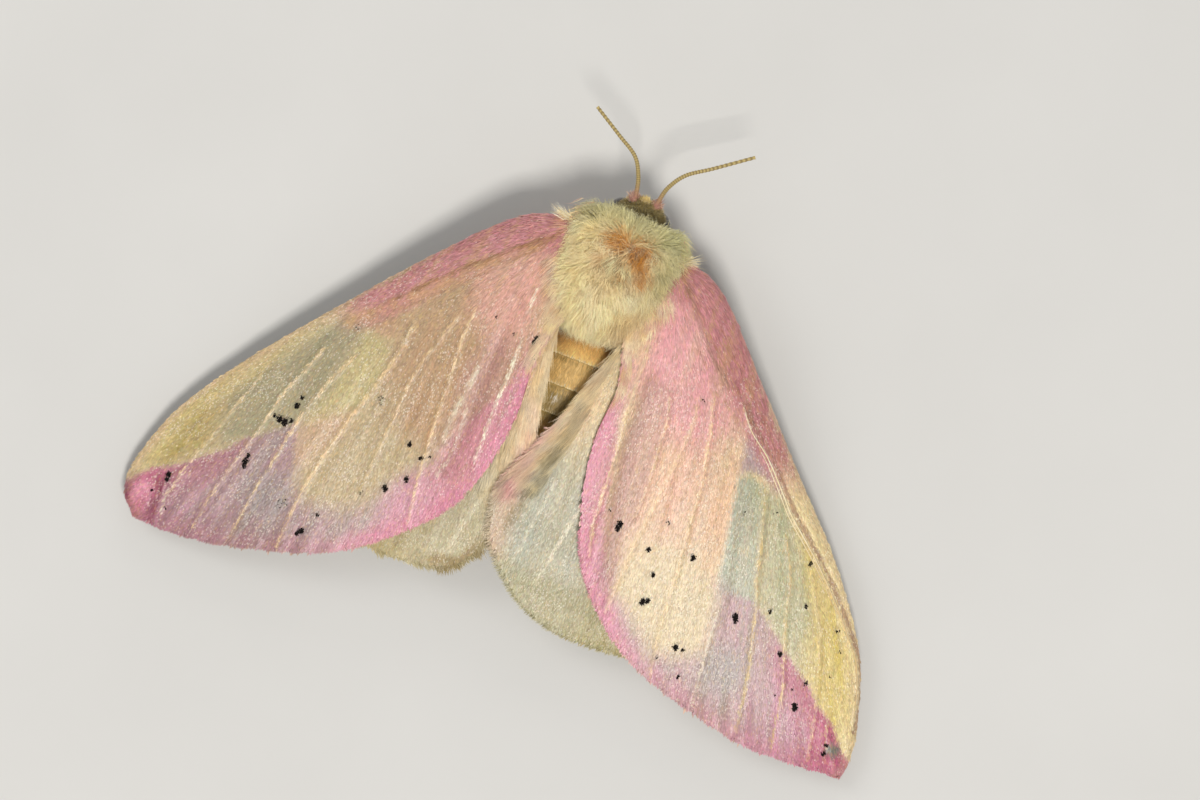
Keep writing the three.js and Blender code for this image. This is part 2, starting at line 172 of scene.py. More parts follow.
# Areas of colour on the forewings: paint, strength, softness, and outline as (out, back)
AREAS = {
    "left": [
        ("mauve_tan", 0.95, 0.8, [(1.5, 3.5), (6.5, 3.0), (10.0, 6.8), (9.2, 7.7), (7.8, 7.9), (7.5, 9.2),
            (6.8, 10.6), (5.0, 11.6), (3.6, 12.0), (2.2, 9.0)]),
        ("mauve_pink", 0.75, 0.5, [(2.6, 5.6), (4.2, 5.8), (4.4, 8.0), (4.2, 11.6), (3.4, 12.4),
            (2.6, 11.0)]),
        ("root_blush", 0.9, 0.9, [(1.0, 0.5), (3.4, 0.8), (5.4, 3.4), (5.2, 5.2), (3.6, 6.2), (2.2, 5.2)]),
        ("root_cream", 0.85, 0.4, [(1.2, 1.0), (2.1, 1.0), (2.35, 3.4), (2.2, 5.2), (1.3, 4.6)]),
        ("disc_yellow", 0.95, 0.22, [(9.35, 7.6), (7.95, 7.6), (7.6, 8.6), (7.9, 10.1), (8.4, 11.1),
            (9.3, 11.9), (10.3, 12.4), (10.0, 11.2), (9.6, 10.0), (9.3, 8.8)]),
        ("olive", 0.95, 0.45, [(9.25, 7.5), (9.6, 10.0), (10.3, 12.4), (12.2, 13.9), (13.5, 14.6),
            (13.7, 12.6), (12.4, 10.2), (11.3, 8.4), (10.3, 7.2)]),
        ("apex_yellow", 0.95, 0.55, [(10.2, 6.6), (11.3, 8.3), (12.6, 10.4), (13.8, 12.6), (13.7, 14.7),
            (15.2, 16.2), (16.8, 16.9), (18.5, 14), (12, 4.5)]),
        ("peach_tan", 0.6, 0.5, [(10.4, 12.3), (8.3, 11.0), (8.6, 12.6), (9.6, 14.4), (10.8, 14.2)]),
        ("peach_tan", 0.5, 0.3, [(8.0, 7.2), (9.3, 7.1), (9.4, 7.7), (8.0, 7.8)]),
        # A pale patch of painted sheen
        ("glint", 0.35, 0.4, [(3.5, 11.1), (4.4, 11.0), (4.4, 11.9), (3.5, 12.0)]),
        ("inner_pink", 0.8, 0.4, [(1.0, 4.6), (2.2, 5.4), (2.5, 8.5), (2.75, 11.0), (2.6, 13.0),
            (1.2, 11.0)]),
    ],
    "right": [
        ("peach", 0.75, 2.0, [(1.5, 3.0), (7.6, 3.4), (8.3, 7.5), (8.7, 10.0), (7.6, 11.2), (6.0, 11.0),
            (4.4, 12.4), (3.4, 10.0), (2.4, 6.0)]),
        ("root_pink", 0.9, 1.0, [(1.2, 0.5), (3.5, 0.8), (7.4, 4.6), (7.6, 6.2), (6.0, 7.4), (4.4, 7.0),
            (2.6, 5.4)]),
        ("mauve_pink", 0.8, 0.4, [(3.0, 5.0), (4.4, 5.4), (4.6, 9.0), (4.8, 14.6), (4.0, 13.8),
            (3.1, 8.6)]),
        ("peach_pink", 0.35, 0.8, [(5.3, 7.0), (6.9, 7.0), (6.9, 11.4), (5.6, 11.4)]),
        ("root_cream", 0.75, 0.35, [(1.3, 1.2), (2.3, 1.2), (2.5, 4.0), (2.2, 5.6), (1.5, 4.6)]),
        ("orange_peach", 0.58, 0.55, [(7.5, 7.0), (8.2, 7.2), (8.5, 9.5), (8.9, 12.4), (8.3, 12.0),
            (7.6, 9.0)]),
        ("mauve_blue", 0.85, 0.25, [(8.0, 5.9), (8.9, 6.4), (10.4, 7.9), (9.5, 7.55), (8.6, 7.5),
            (8.2, 7.7)]),
        ("blue_grey", 0.9, 0.2, [(8.2, 7.7), (8.5, 9.5), (9.0, 12.0), (9.2, 12.8), (10.9, 13.0),
            (10.2, 10.6), (9.5, 8.6), (9.0, 7.6)]),
        ("green_grey", 0.9, 0.55, [(8.7, 7.6), (9.3, 8.6), (10.3, 10.6), (10.8, 12.5), (12.5, 13.9),
            (13.9, 14.9), (13.6, 12.8), (12.6, 10.6), (11.4, 9.0), (10.3, 7.8)]),
        ("yellow", 0.95, 0.6, [(11.4, 8.9), (12.6, 10.8), (13.5, 12.8), (13.8, 14.8), (15.0, 15.8),
            (16.6, 17.4), (18.5, 16), (16, 11.5), (12.5, 9.0)]),
        ("strip_gold", 0.9, 0.1, FOLD[2:] + [(19, 16.5), (19, 10), (12, 5)]),
        ("inner_pink", 0.9, 0.4, [(1.0, 4.2), (2.3, 4.8), (2.45, 8.0), (2.8, 10.6), (3.5, 13.0),
            (4.1, 14.4), (3.4, 15.0), (1.2, 11.0)]),
    ],
}
# The outer pink band of each forewing
OUTER_BAND = {
    "left": [(18, 17.5), (16.4, 17.3), (15.7, 16.65), (15.1, 16.35), (13.9, 15.45), (13.1, 14.85),
        (12.2, 13.8), (11.2, 13.1), (10.4, 12.4), (10.3, 13.4), (9.9, 14.8), (9.0, 15.6), (7.6, 15.5),
        (6.2, 14.6), (5.4, 13.2), (4.6, 12.2), (3.4, 9.5), (2.4, 7.5), (0, 7.5), (0, 20), (18, 20)],
    "right": [(18, 17.9), (16.6, 17.3), (15.75, 16.35), (14.9, 15.85), (14.1, 15.0), (13.5, 14.7),
        (12.45, 13.9), (11.5, 13.1), (10.7, 12.55), (9.2, 12.6), (9.45, 13.9), (9.6, 15.4), (8.8, 16.0),
        (7.4, 16.2), (6.3, 15.4), (5.4, 14.9), (4.7, 14.6), (3.9, 12.8), (3.2, 10.5), (2.5, 7.5), (0, 7.5),
        (0, 20), (18, 20)],
}
# The hollow along each forewing, not far from its inner edge
TROUGH = {
    "left": [(3.4, 4.0), (3.5, 7.0), (3.5, 9.5), (3.9, 12.0)],
    "right": [(3.2, 4.5), (3.3, 8.0), (3.6, 10.0), (4.25, 13.0), (4.4, 14.9)],
}
# Dark specks on the forewings as (out, back, radius, depth)
SPECKS = {
    "left": [
        (4.0, 5.05, 0.06, 0.7), (2.05, 5.3, 0.13, 1.0), (2.12, 5.5, 0.09, 1.0), (1.87, 6.1, 0.07, 0.9),
        (3.0, 5.5, 0.1, 0.3), (9.4, 7.6, 0.16, 0.25), (7.4, 10.2, 0.24, 0.4), (10.6, 11.3, 0.09, 0.85),
        (10.7, 11.7, 0.13, 1.0), (11.2, 12.5, 0.16, 1.0), (10.95, 12.55, 0.17, 1.0),
        (10.7, 12.4, 0.11, 0.9), (11.45, 12.45, 0.09, 0.9), (5.55, 11.5, 0.11, 1.0), (4.87, 11.9, 0.1, 0.8),
        (4.55, 11.7, 0.07, 0.7), (5.15, 12.97, 0.13, 1.0), (5.88, 13.65, 0.15, 1.0),
        (6.8, 14.2, 0.11, 0.45), (11.9, 14.5, 0.11, 0.9), (11.95, 14.75, 0.15, 1.0),
        (11.93, 14.97, 0.11, 0.9), (9.8, 15.85, 0.26, 0.4), (8.2, 15.8, 0.09, 0.8), (8.62, 16.7, 0.15, 1.0),
        (8.75, 16.85, 0.11, 0.9), (14.85, 16.5, 0.14, 1.0), (14.85, 16.72, 0.11, 1.0),
        (15.3, 17.4, 0.08, 0.8), (14.5, 17.9, 0.07, 0.7),
    ],
    "right": [
        (4.13, 11.45, 0.16, 1.0), (4.1, 11.65, 0.15, 1.0), (5.65, 12.05, 0.12, 0.9),
        (6.25, 13.0, 0.11, 1.0), (6.25, 14.25, 0.17, 1.0), (6.42, 14.12, 0.12, 1.0),
        (6.05, 10.65, 0.12, 0.5), (7.58, 11.7, 0.14, 1.0), (8.28, 15.6, 0.15, 1.0), (8.6, 15.6, 0.08, 0.9),
        (7.7, 16.3, 0.06, 0.7), (8.85, 16.75, 0.1, 0.8), (10.2, 13.4, 0.16, 1.0), (10.28, 13.58, 0.13, 1.0),
        (11.55, 12.7, 0.09, 0.85), (12.6, 14.25, 0.13, 1.0), (12.9, 11.95, 0.09, 0.85),
        (12.4, 10.15, 0.12, 0.75), (10.2, 8.6, 0.12, 0.4), (8.95, 9.1, 0.1, 0.25), (14.1, 15.05, 0.1, 0.8),
        (13.65, 15.5, 0.06, 0.6), (13.05, 16.0, 0.06, 0.6), (14.0, 16.1, 0.14, 1.0),
        (14.07, 16.25, 0.13, 1.0), (14.55, 12.45, 0.13, 0.6), (15.0, 13.25, 0.08, 0.4),
        (15.0, 14.4, 0.08, 0.4), (15.92, 17.25, 0.08, 1.0), (15.95, 17.62, 0.11, 1.0),
        (3.5, 11.0, 0.09, 0.4), (5.5, 5.2, 0.2, 0.25),
    ],
}

# Paints, as the eye sees them
PAINTS = {
    "costal_pink": "#d38b93", "costal_plum": "#b3736f", "costal_tan": "#cba587", "root_pink": "#e09aa0",
    "root_blush": "#e0a697", "root_cream": "#e8c79c", "mauve_tan": "#b9936d", "mauve_pink": "#c38f86",
    "disc_yellow": "#c2b37d", "olive": "#98916e", "apex_yellow": "#a89236", "tan": "#c0ab84",
    "peach_tan": "#cba283", "yellow": "#dac36a", "gold": "#c9a25e", "band_pink": "#c88fa2",
    "band_mauve": "#ad9a96", "band_grey": "#9a9c96", "rose": "#b65a6e", "tip_pink": "#bb5c79",
    "edge_pink": "#d98aa0", "tornus_pink": "#d99cab", "vein_cream": "#fbf1d3", "vein_peach": "#f2d2a0",
    "vein_gold": "#dcc084", "warm_cream": "#dfcba5", "peach": "#e6b596", "orange_peach": "#e6b287",
    "mauve_blue": "#b39ba0", "blue_grey": "#abb19d", "green_grey": "#adaf89", "strip_gold": "#ecd7a3",
    "hollow_shade_mauve": "#a97b70", "rust": "#9c6d3e", "brown": "#9c7260", "glint": "#fff6e4",
    "speck": "#16100e", "speck_grey": "#6f7366", "hind_grey": "#b2b29d", "hind_cream": "#dcc898",
    "hind_blush": "#f6b9b8", "hind_stripe": "#86703f", "hind_ochre": "#8d7237", "hind_yellow": "#a89e6c",
    "wool_cream": "#ffe6a8", "wool_pale": "#fff4d6", "wool_green": "#d6d194", "wool_orange": "#d28a10",
    "wool_tan": "#cfa768", "face_yellow": "#f0d680", "crown_olive_shade": "#8d7838", "abdomen_tan": "#ffd182",
    "abdomen_pale": "#fff0c6", "abdomen_dark": "#8f7a3e", "belly_cream": "#f4e4b8", "leg_pink": "#dc8a9f",
    "leg_wool": "#e6c0a2", "scape_pink": "#b47b72", "antenna_tan": "#bda768", "antenna_dark": "#735d36",
    "inner_pink": "#d08592", "peach_pink": "#e5aa9c", "tip_fold_shade": "#8e3f55", "band_painted_shade": "#80605f",
    "fold_cream": "#f6ebcb", "claw": "#3a2416",
}


# Numbers and colours

def linear(paint):
    """A paint's colour in the linear values that a shader works with."""
    seen = np.array([int(PAINTS[paint][i:i + 2], 16) / 255 for i in (1, 3, 5)])
    return np.where(seen <= 0.04045, seen / 12.92, ((seen + 0.055) / 1.055) ** 2.4)


def soft_step(low, high, value):
    """0 below low, 1 above high, and a smooth rise between. It falls where high is below low."""
    rise = np.clip((value - low) / (high - low), 0, 1)
    return rise * rise * (3 - 2 * rise)


def plain(paint, count):
    """One paint for each of count places."""
    return np.repeat(linear(paint)[None], count, axis=0)


def lay_on(colours, paint, cover):
    """The colours with a paint laid over them, as thickly as cover says."""
    return colours + (linear(paint) - colours) * np.clip(cover, 0, 1)[:, None]


def lay_all(colours, *layers):
    """The colours with one layer after another laid over them, each a paint and its cover."""
    for paint, cover in layers:
        colours = lay_on(colours, paint, cover)
    return colours


def mottle(places, grain, seed):
    """Smooth random values from 0 to 1, in patches about grain across. Each use has its own seed."""
    cells = np.asarray(places, float) / grain
    ways = cells.shape[1]
    low = np.floor(cells).astype(int)
    part = cells - low
    part = part * part * (3 - 2 * part)
    size = {1: 512, 2: 64, 3: 32}[ways]
    table = np.random.default_rng(seed).random((size,) * ways)
    total = np.zeros(len(cells))
    for corner in itertools.product((0, 1), repeat=ways):
        weight = np.ones(len(cells))
        for i, high in enumerate(corner):
            weight = weight * (part[:, i] if high else 1 - part[:, i])
        total += weight * table[tuple((low[:, i] + c) % size for i, c in enumerate(corner))]
    return total


def unit(vectors):
    return vectors / np.maximum(np.linalg.norm(vectors, axis=-1, keepdims=True), 1e-9)


def square_to(up, vectors):
    """Unit vectors square to up that keep the vectors' way as far as they can."""
    return unit(vectors - up * np.sum(vectors * up, axis=1, keepdims=True))


def nearest(places, seekers):
    """Which of the places lies nearest to each seeker."""
    tree = KDTree(len(places))
    for i, place in enumerate(places):
        tree.insert(place, i)
    tree.balance()
    return np.array([tree.find(seeker)[1] for seeker in seekers])


def picks_by_area(area, count, rng):
    """Cells of a grid picked at random, each as often as its area asks."""
    share = np.cumsum(area.ravel()) / area.sum()
    picks = np.searchsorted(share, (np.arange(count) + rng.random(count)) / count)
    return np.minimum(picks, area.size - 1)


def curve_through(points, along):
    """Places on the smooth curve through points, where along is 0 at the first and 1 at the last."""
    points = np.array(points, float)
    padded = np.vstack([2 * points[0] - points[1], points, 2 * points[-1] - points[-2]])
    place = np.clip(along, 0, 1) * (len(points) - 1)
    span = np.minimum(place.astype(int), len(points) - 2)
    t = (place - span)[..., None]
    a, b, c, d = (padded[span + i] for i in range(4))
    return 0.5 * (2 * b + (c - a) * t + (2 * a - 5 * b + 4 * c - d) * t ** 2
                  + (3 * b - a - 3 * c + d) * t ** 3)


def off_line(line, out, back):
    """How far each place is from a drawn line: positive to the left of its way along."""
    nearest = np.full(len(out), 1e9)
    signed = np.zeros(len(out))
    for (x0, y0), (x1, y1) in zip(line, line[1:]):
        dx, dy = x1 - x0, y1 - y0
        t = np.clip(((out - x0) * dx + (back - y0) * dy) / (dx * dx + dy * dy), 0, 1)
        rx, ry = out - x0 - t * dx, back - y0 - t * dy
        distance = np.hypot(rx, ry)
        closer = distance < nearest
        nearest = np.where(closer, distance, nearest)
        signed = np.where(closer, np.sign(dx * ry - dy * rx) * distance, signed)
    return signed


def in_area(outline, out, back, soft):
    """1 inside a drawn outline and 0 outside it, softened by soft to either side."""
    inside = np.zeros(len(out), bool)
    for (x0, y0), (x1, y1) in zip(outline, outline[1:] + outline[:1]):
        spans = (y0 > back) != (y1 > back)
        inside ^= spans & (out < (x1 - x0) * (back - y0) / (y1 - y0 + 1e-9) + x0)
    from_edge = np.abs(off_line(outline + outline[:1], out, back))
    return soft_step(-soft, soft, np.where(inside, from_edge, -from_edge))


def on_line(line, out, back, width):
    """1 on a drawn line, falling softly to 0 at width to either side."""
    return 1 - soft_step(0, width, np.abs(off_line(line, out, back)))


def spot(out, back, middle, reach):
    """1 in the middle of a soft oval spot and 0 outside it."""
    far = np.hypot((out - middle[0]) / reach[0], (back - middle[1]) / reach[1])
    return 1 - soft_step(0.25, 1, far)


# Making meshes

def deselect():
    bpy.ops.object.select_all(action="DESELECT")


def choose(piece):
    deselect()
    piece.select_set(True)
    bpy.context.view_layer.objects.active = piece


def joined(pieces):
    """All the pieces as one."""
    choose(pieces[0])
    for piece in pieces:
        piece.select_set(True)
    bpy.ops.object.join()
    return bpy.context.object


def add_object(name, data):
    thing = bpy.data.objects.new(name, data)
    bpy.context.scene.collection.objects.link(thing)
    return thing


def apply_modifier(piece, kind, **settings):
    choose(piece)
    modifier = piece.modifiers.new(kind.title(), kind)
    for name, value in settings.items():
        setattr(modifier, name, value)
    bpy.ops.object.modifier_apply(modifier=modifier.name)


def finish_piece(piece, name, material, slot, *nodes):
    """Brings a piece drawn in millimetres to metres and its place, and registers it."""
    choose(piece)
    bpy.ops.object.transform_apply(location=True, rotation=True, scale=True)
    set_places(piece.data, (vertex_places(piece.data) + SET_OVER) * MM)
    register(piece, name, material, slot, *nodes)


def register(piece, name, material, slot, *nodes, smooth=True):
    """Names a piece, sets it on its body, and hides the solids that it stands for. Its slot is not used."""
    piece.name = name
    piece.data.name = name
    piece.data.materials.clear()
    piece.data.materials.append(material)
    piece.data.polygons.foreach_set("use_smooth", np.full(len(piece.data.polygons), smooth))
    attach(piece, "root")
    if nodes:
        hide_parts(*nodes)


def vertex_places(mesh):
    places = np.empty(len(mesh.vertices) * 3)
    mesh.vertices.foreach_get("co", places)
    return places.reshape(-1, 3)


def set_places(mesh, places):
    mesh.vertices.foreach_set("co", np.ascontiguousarray(places, float).ravel())
    mesh.update()


def paint_vertices(mesh, colours):
    layer = mesh.color_attributes.new("Markings", "FLOAT_COLOR", "POINT")
    with_alpha = np.column_stack([np.clip(colours, 0, 1), np.ones(len(colours))])
    layer.data.foreach_set("color", with_alpha.ravel())


# Tufts and scales

# The size of a tuft's patch on the bake, as a part of the whole
PATCH = 0.003


def outward(faces, first):
    """A tuft's faces, turned over if those of the first tuft look inwards."""
    a, b, c = (first[faces[:, i]] - first.mean(axis=0) for i in range(3))
    return faces if np.sum(a * np.cross(b, c)) > 0 else faces[:, ::-1]


def joined_coat(name, corners, one, colours, tones, unwrap, spread, material, slot):
    """One coat piece of many tufts that are alike.

    one holds a tuft's faces, tones the shade of each of its corners, and spread where each
    corner lies on the bake, round the tuft's own place on the unwrap."""
    count, each = corners.shape[:2]
    one = outward(np.array(one), corners[0])
    corner = (one[None] + each * np.arange(count)[:, None, None]).ravel()
    shades = colours[:, None, :] * np.array(tones)[None, :, None]
    patches = (unwrap[:, None, :] + np.array(spread)[None]).reshape(-1, 2)
    mesh = bpy.data.meshes.new(name)
    mesh.vertices.add(count * each)
    mesh.loops.add(corner.size)
    mesh.polygons.add(corner.size // 3)
    mesh.vertices.foreach_set("co", ((corners.reshape(-1, 3) + SET_OVER) * MM).ravel())
    mesh.loops.foreach_set("vertex_index", corner.astype(np.int32))
    mesh.polygons.foreach_set("loop_start", np.arange(0, corner.size, 3, dtype=np.int32))
    mesh.update(calc_edges=True)
    paint_vertices(mesh, shades.reshape(-1, 3))
    bake = mesh.uv_layers.new(name="OFBake")
    bake.data.foreach_set("uv", patches[corner].ravel())
    register(add_object(name, mesh), name, material, slot, smooth=False)


def strand_faces(rings):
    """The faces of a three-sided strand of some rings and a tip, root closed."""
    faces = [(0, 2, 1)]
    for ring in range(rings - 1):
        for i in range(3):
            a, b = 3 * ring + i, 3 * ring + (i + 1) % 3
            faces += [(a, b, a + 3), (b, b + 3, a + 3)]
    last = 3 * (rings - 1)
    return faces + [(last + i, last + (i + 1) % 3, last + 3) for i in range(3)]


# How a strand of wool bends over, how flat it is, and how bright its tip
STRAND_BEND = 0.6
STRAND_HUMP = 1.6
STRAND_FLATNESS = 0.5
STRAND_TAPER = 0.7
TIP_TONE = 1.08
STRANDS_IN_LOCK = 28
LOCK_TONE = 0.07


def wool(name, roots, up, lie, length, width, lift, colours, unwrap, slot, rng, curl, root_shade,
         rings=2, lock=0.0, lock_size=0.1):
    """Tapered strands that rise from their roots at an angle and bend over to lie along lie.

    lock draws the tips of neighbouring strands together, and lock_size is a lock's width."""
    count = len(roots)
    up = unit(up)
    lie = square_to(up, lie)
    across = np.cross(up, lie)
    rise = np.sin(lift)[:, None]
    fore = np.cos(lift)[:, None]
    wander = rng.normal(0, curl, (count, 3)) * length[:, None]
    tips = roots + length[:, None] * (lie * fore + up * rise * STRAND_BEND) + wander
    if lock:
        heads = rng.choice(count, max(2, int(count / STRANDS_IN_LOCK)), replace=False)
        owner = heads[nearest(roots[heads], roots)]
        far = np.linalg.norm(roots - roots[owner], axis=1)
        pull = lock * (1 - soft_step(lock_size, 3 * lock_size, far))
        tips += (tips[owner] - tips) * pull[:, None]
        colours = colours * rng.normal(1, LOCK_TONE, count)[owner][:, None]
    stations = np.linspace(0, 1, rings + 1)
    middles = []
    for t in stations:
        straight = roots + (tips - roots) * t
        hump = (up * rise + across * rng.normal(0, curl, (count, 1))) * length[:, None]
        middles.append(straight + hump * (t * (1 - t)) * STRAND_HUMP)
    run = unit(tips - roots)
    thin = unit(np.cross(run, across))
    side = np.cross(thin, run)
    corners = np.empty((count, 3 * rings + 1, 3))
    turns = 2 * math.pi * np.arange(3) / 3
    for ring in range(rings):
        girth = width * (1 - stations[ring]) ** STRAND_TAPER
        for i, turn in enumerate(turns):
            reach = side * math.cos(turn) + thin * (math.sin(turn) * STRAND_FLATNESS)
            corners[:, 3 * ring + i] = middles[ring] + 0.5 * girth[:, None] * reach
    corners[:, -1] = middles[-1]
    tones = np.repeat(root_shade + (1 - root_shade) * stations[:-1], 3)
    spread = [(math.cos(t) * 0.5 * PATCH, (s - 0.5) * PATCH)
              for s in stations[:-1] for t in turns] + [(0.0, 0.5 * PATCH)]
    joined_coat(name, corners, strand_faces(rings), colours, np.append(tones, TIP_TONE), unwrap,
                spread, finishes["wool"], slot)


SCALE_FACES = [(0, 2, 3), (0, 3, 1), (1, 2, 0), (1, 3, 2)]
# The shade of a scale's root, end and two shoulders
SCALE_TONES = [0.9, 1.06, 1.0, 1.0]
SCALE_ROOF = 0.06
SCALE_TURN = 0.13
SHOULDER_AT = 0.55


def scales(name, roots, up, lie, length, width, colours, unwrap, material, slot, rng,
           tilt=0.045, scatter=0.065):
    """Flat leaf-shaped scales, each with a low roof along its middle."""
    count = len(roots)
    up = unit(up)
    lie = square_to(up, lie)
    raise_by = rng.normal(tilt, 0.6 * scatter, (count, 1))
    roll_by = rng.normal(0, scatter, (count, 1))
    turn_by = rng.normal(0, SCALE_TURN, (count, 1))
    across = np.cross(up, lie)
    run = unit(lie + up * raise_by + across * turn_by)
    side = unit(np.cross(up, run) + up * roll_by)
    face_up = np.cross(run, side)
    long = length[:, None]
    wide = 0.5 * width[:, None]
    shoulder = roots + SHOULDER_AT * long * run - face_up * SCALE_ROOF * wide * 2
    corners = np.stack([roots, roots + long * run, shoulder + wide * side,
                        shoulder - wide * side], axis=1)
    spread = np.array([(0, -0.5), (0, 0.5), (0.5, 0.05), (-0.5, 0.05)]) * PATCH
    joined_coat(name, corners, SCALE_FACES, colours, SCALE_TONES, unwrap, spread, material, slot)


# Finishes

def set_inputs(node, values):
    for socket, value in values.items():
        node.inputs[socket].default_value = value


def new_finish(name, values):
    material = bpy.data.materials.new(name)
    material.use_nodes = True
    nodes = material.node_tree.nodes
    shader = nodes["Principled BSDF"]
    set_inputs(shader, values)
    return material, nodes, material.node_tree.links, shader


def object_texture(nodes, links, kind, **values):
    """A texture that lies in the object itself."""
    where = nodes.new("ShaderNodeTexCoord")
    texture = nodes.new("ShaderNodeTex" + kind)
    set_inputs(texture, values)
    links.new(where.outputs["Object"], texture.inputs["Vector"])
    return texture


def add_bump(nodes, links, shader, height, strength, depth, invert=False):
    bump = nodes.new("ShaderNodeBump")
    bump.invert = invert
    set_inputs(bump, {"Strength": strength, "Distance": depth})
    links.new(height, bump.inputs["Height"])
    links.new(bump.outputs["Normal"], shader.inputs["Normal"])


def add_ramp(nodes, links, shader, value, low, high):
    """Gives the shader a colour that runs from low to high with the value."""
    ramp = nodes.new("ShaderNodeValToRGB")
    ramp.color_ramp.elements[0].color = low
    ramp.color_ramp.elements[1].color = high
    links.new(value, ramp.inputs["Fac"])
    links.new(ramp.outputs["Color"], shader.inputs["Base Color"])


def painted_finish(name, grain, depth, fade, **values):
    """The piece's own markings, broken up by a fine grain, with a bump of the same grain."""
    values = {socket.replace("_", " "): value for socket, value in values.items()}
    material, nodes, links, shader = new_finish(name, values)
    marks = nodes.new("ShaderNodeAttribute")
    marks.attribute_name = "Markings"
    noise = object_texture(nodes, links, "Noise", Scale=grain, Detail=3.0)
    tone = nodes.new("ShaderNodeMapRange")
    set_inputs(tone, {"From Min": 0.3, "From Max": 0.7, "To Min": 1 - fade, "To Max": 1 + 0.5 * fade})
    links.new(noise.outputs["Fac"], tone.inputs["Value"])
    mix = nodes.new("ShaderNodeMix")
    mix.data_type = "RGBA"
    mix.blend_type = "MULTIPLY"
    mix.inputs["Factor"].default_value = 1
    grey = nodes.new("ShaderNodeCombineColor")
    for channel in ("Red", "Green", "Blue"):
        links.new(tone.outputs["Result"], grey.inputs[channel])
    links.new(marks.outputs["Color"], mix.inputs[6])
    links.new(grey.outputs["Color"], mix.inputs[7])
    links.new(mix.outputs[2], shader.inputs["Base Color"])
    if depth:
        add_bump(nodes, links, shader, noise.outputs["Fac"], 0.6, depth)
    return material


# Finishes: grain and depth of the bump, how far the grain darkens the markings, and the shader
COAT_GRAIN = 5000
finishes = {
    "wing_skin": painted_finish("Wing membrane", 16000, 0.00002, 0.22, Roughness=0.55),
    "body_skin": painted_finish("Body skin", 9000, 0.00004, 0.22, Roughness=0.7),
    "wing_scales": painted_finish("Satin wing scales", COAT_GRAIN, 0, 0.12, Roughness=0.42,
                                  Sheen_Weight=0.25, Sheen_Roughness=0.4, Specular_IOR_Level=0.7),
    "wool": painted_finish("Soft wool", 2600, 0, 0.08, Roughness=0.5, Sheen_Weight=0.5,
                           Sheen_Roughness=0.5),
    "short_hair": painted_finish("Short sleek hair", 3500, 0, 0.1, Roughness=0.42,
                                 Sheen_Weight=0.3, Sheen_Roughness=0.4),
    "speck": painted_finish("Matt black scales", COAT_GRAIN, 0, 0.1, Roughness=0.85,
                            Specular_IOR_Level=0.15),
    "claw": painted_finish("Dark horn", 9000, 0, 0.15, Roughness=0.3),
    "antenna": painted_finish("Ringed horn", 14000, 0.00001, 0.18, Roughness=0.5),
}


def eye_finish():
    """Near black and glossy, with a fine net of lenses."""
    material, nodes, links, shader = new_finish(
        "Glossy faceted eye", {"Roughness": 0.16, "Coat Weight": 0.5, "Coat Roughness": 0.05})
    far = object_texture(nodes, links, "Voronoi", Scale=24000).outputs["Distance"]
    add_ramp(nodes, links, shader, far, (0.022, 0.012, 0.01, 1), (0.006, 0.004, 0.004, 1))
    add_bump(nodes, links, shader, far, 0.35, 0.00001, invert=True)
    return material


def floor_finish():
    material, nodes, links, shader = new_finish("Pale plaster floor", {"Roughness": 0.85})
    cloud = object_texture(nodes, links, "Noise", Scale=90, Detail=6).outputs["Fac"]
    add_ramp(nodes, links, shader, cloud, (0.60, 0.59, 0.565, 1), (0.66, 0.65, 0.625, 1))
    return material


# Camera, floor and light

# The camera looks straight down, and is turned as the photograph is
CAMERA_PLACE = (-1.16, 0.12, 302.5)
CAMERA_TURN = 201.0
LENS = 208.3

# Square soft lights: direction from the moth, size in metres, power in watts and colour
LIGHT_DISTANCE = 0.4
LIGHTS = {
    "Key light": ((-0.2, 0.3, 1.0), 0.09, 1.09, (1, 0.97, 0.93)),
    "Fill light": ((0.9, -0.3, 0.9), 0.2, 0.3, (1, 1, 1)),
    "Low front light": ((0.2, -1.0, 0.35), 0.2, 0.24, (1, 1, 1)),
}


def set_camera():
    data = bpy.data.cameras.new("Camera")
    data.lens = LENS
    camera = add_object("Camera", data)
    camera.location = [value * MM for value in CAMERA_PLACE]
    camera.rotation_euler = (0, 0, math.radians(CAMERA_TURN))
    bpy.context.scene.camera = camera


def set_lights():
    for name, (toward, size, watts, colour) in LIGHTS.items():
        data = bpy.data.lights.new(name, "AREA")
        data.energy = watts
        data.size = size
        data.color = colour
        lamp = add_object(name, data)
        way = Vector(toward).normalized()
        lamp.location = way * LIGHT_DISTANCE
        lamp.rotation_euler = way.to_track_quat("Z", "Y").to_euler()


def set_studio():
    deselect()
    bpy.ops.mesh.primitive_plane_add(size=4)
    floor = bpy.context.object
    floor.name = "floor"
    floor.data.materials.append(floor_finish())
    world = bpy.data.worlds.new("Studio")
    world.use_nodes = True
    set_inputs(world.node_tree.nodes["Background"], {"Color": (0.96, 0.98, 1, 1), "Strength": 0.36})
    bpy.context.scene.world = world
    set_lights()
    bpy.context.scene.view_settings.view_transform = "Standard"


# Wings

# The veins fan out: how strongly they bend, and how far back they run straight to the tail
RAY_BEND = 0.0023
RAY_LEVEL = 14.0
STREAK_LENGTH = 3.5


def ray_of(out, back):
    """Which of the lines that run like the veins a place lies on, as its distance out."""
    pull = RAY_BEND * (back - RAY_LEVEL)
    pull = np.where(np.abs(pull) < 1e-4, 1e-4, pull)
    return (np.sqrt(np.maximum(1 + 4 * pull * out, 0.04)) - 1) / (2 * pull)


def streaks(out, back, width, seed):
    """Random values drawn out along the veins."""
    return mottle(np.column_stack([ray_of(out, back) / width, back / STREAK_LENGTH]), 1.0, seed)


def off_edge(name, edge, out, back):
    """How far places lie from the front or the rear edge of a wing."""
    return np.abs(off_line([point[:2] for point in WINGS[name][edge]], out, back))


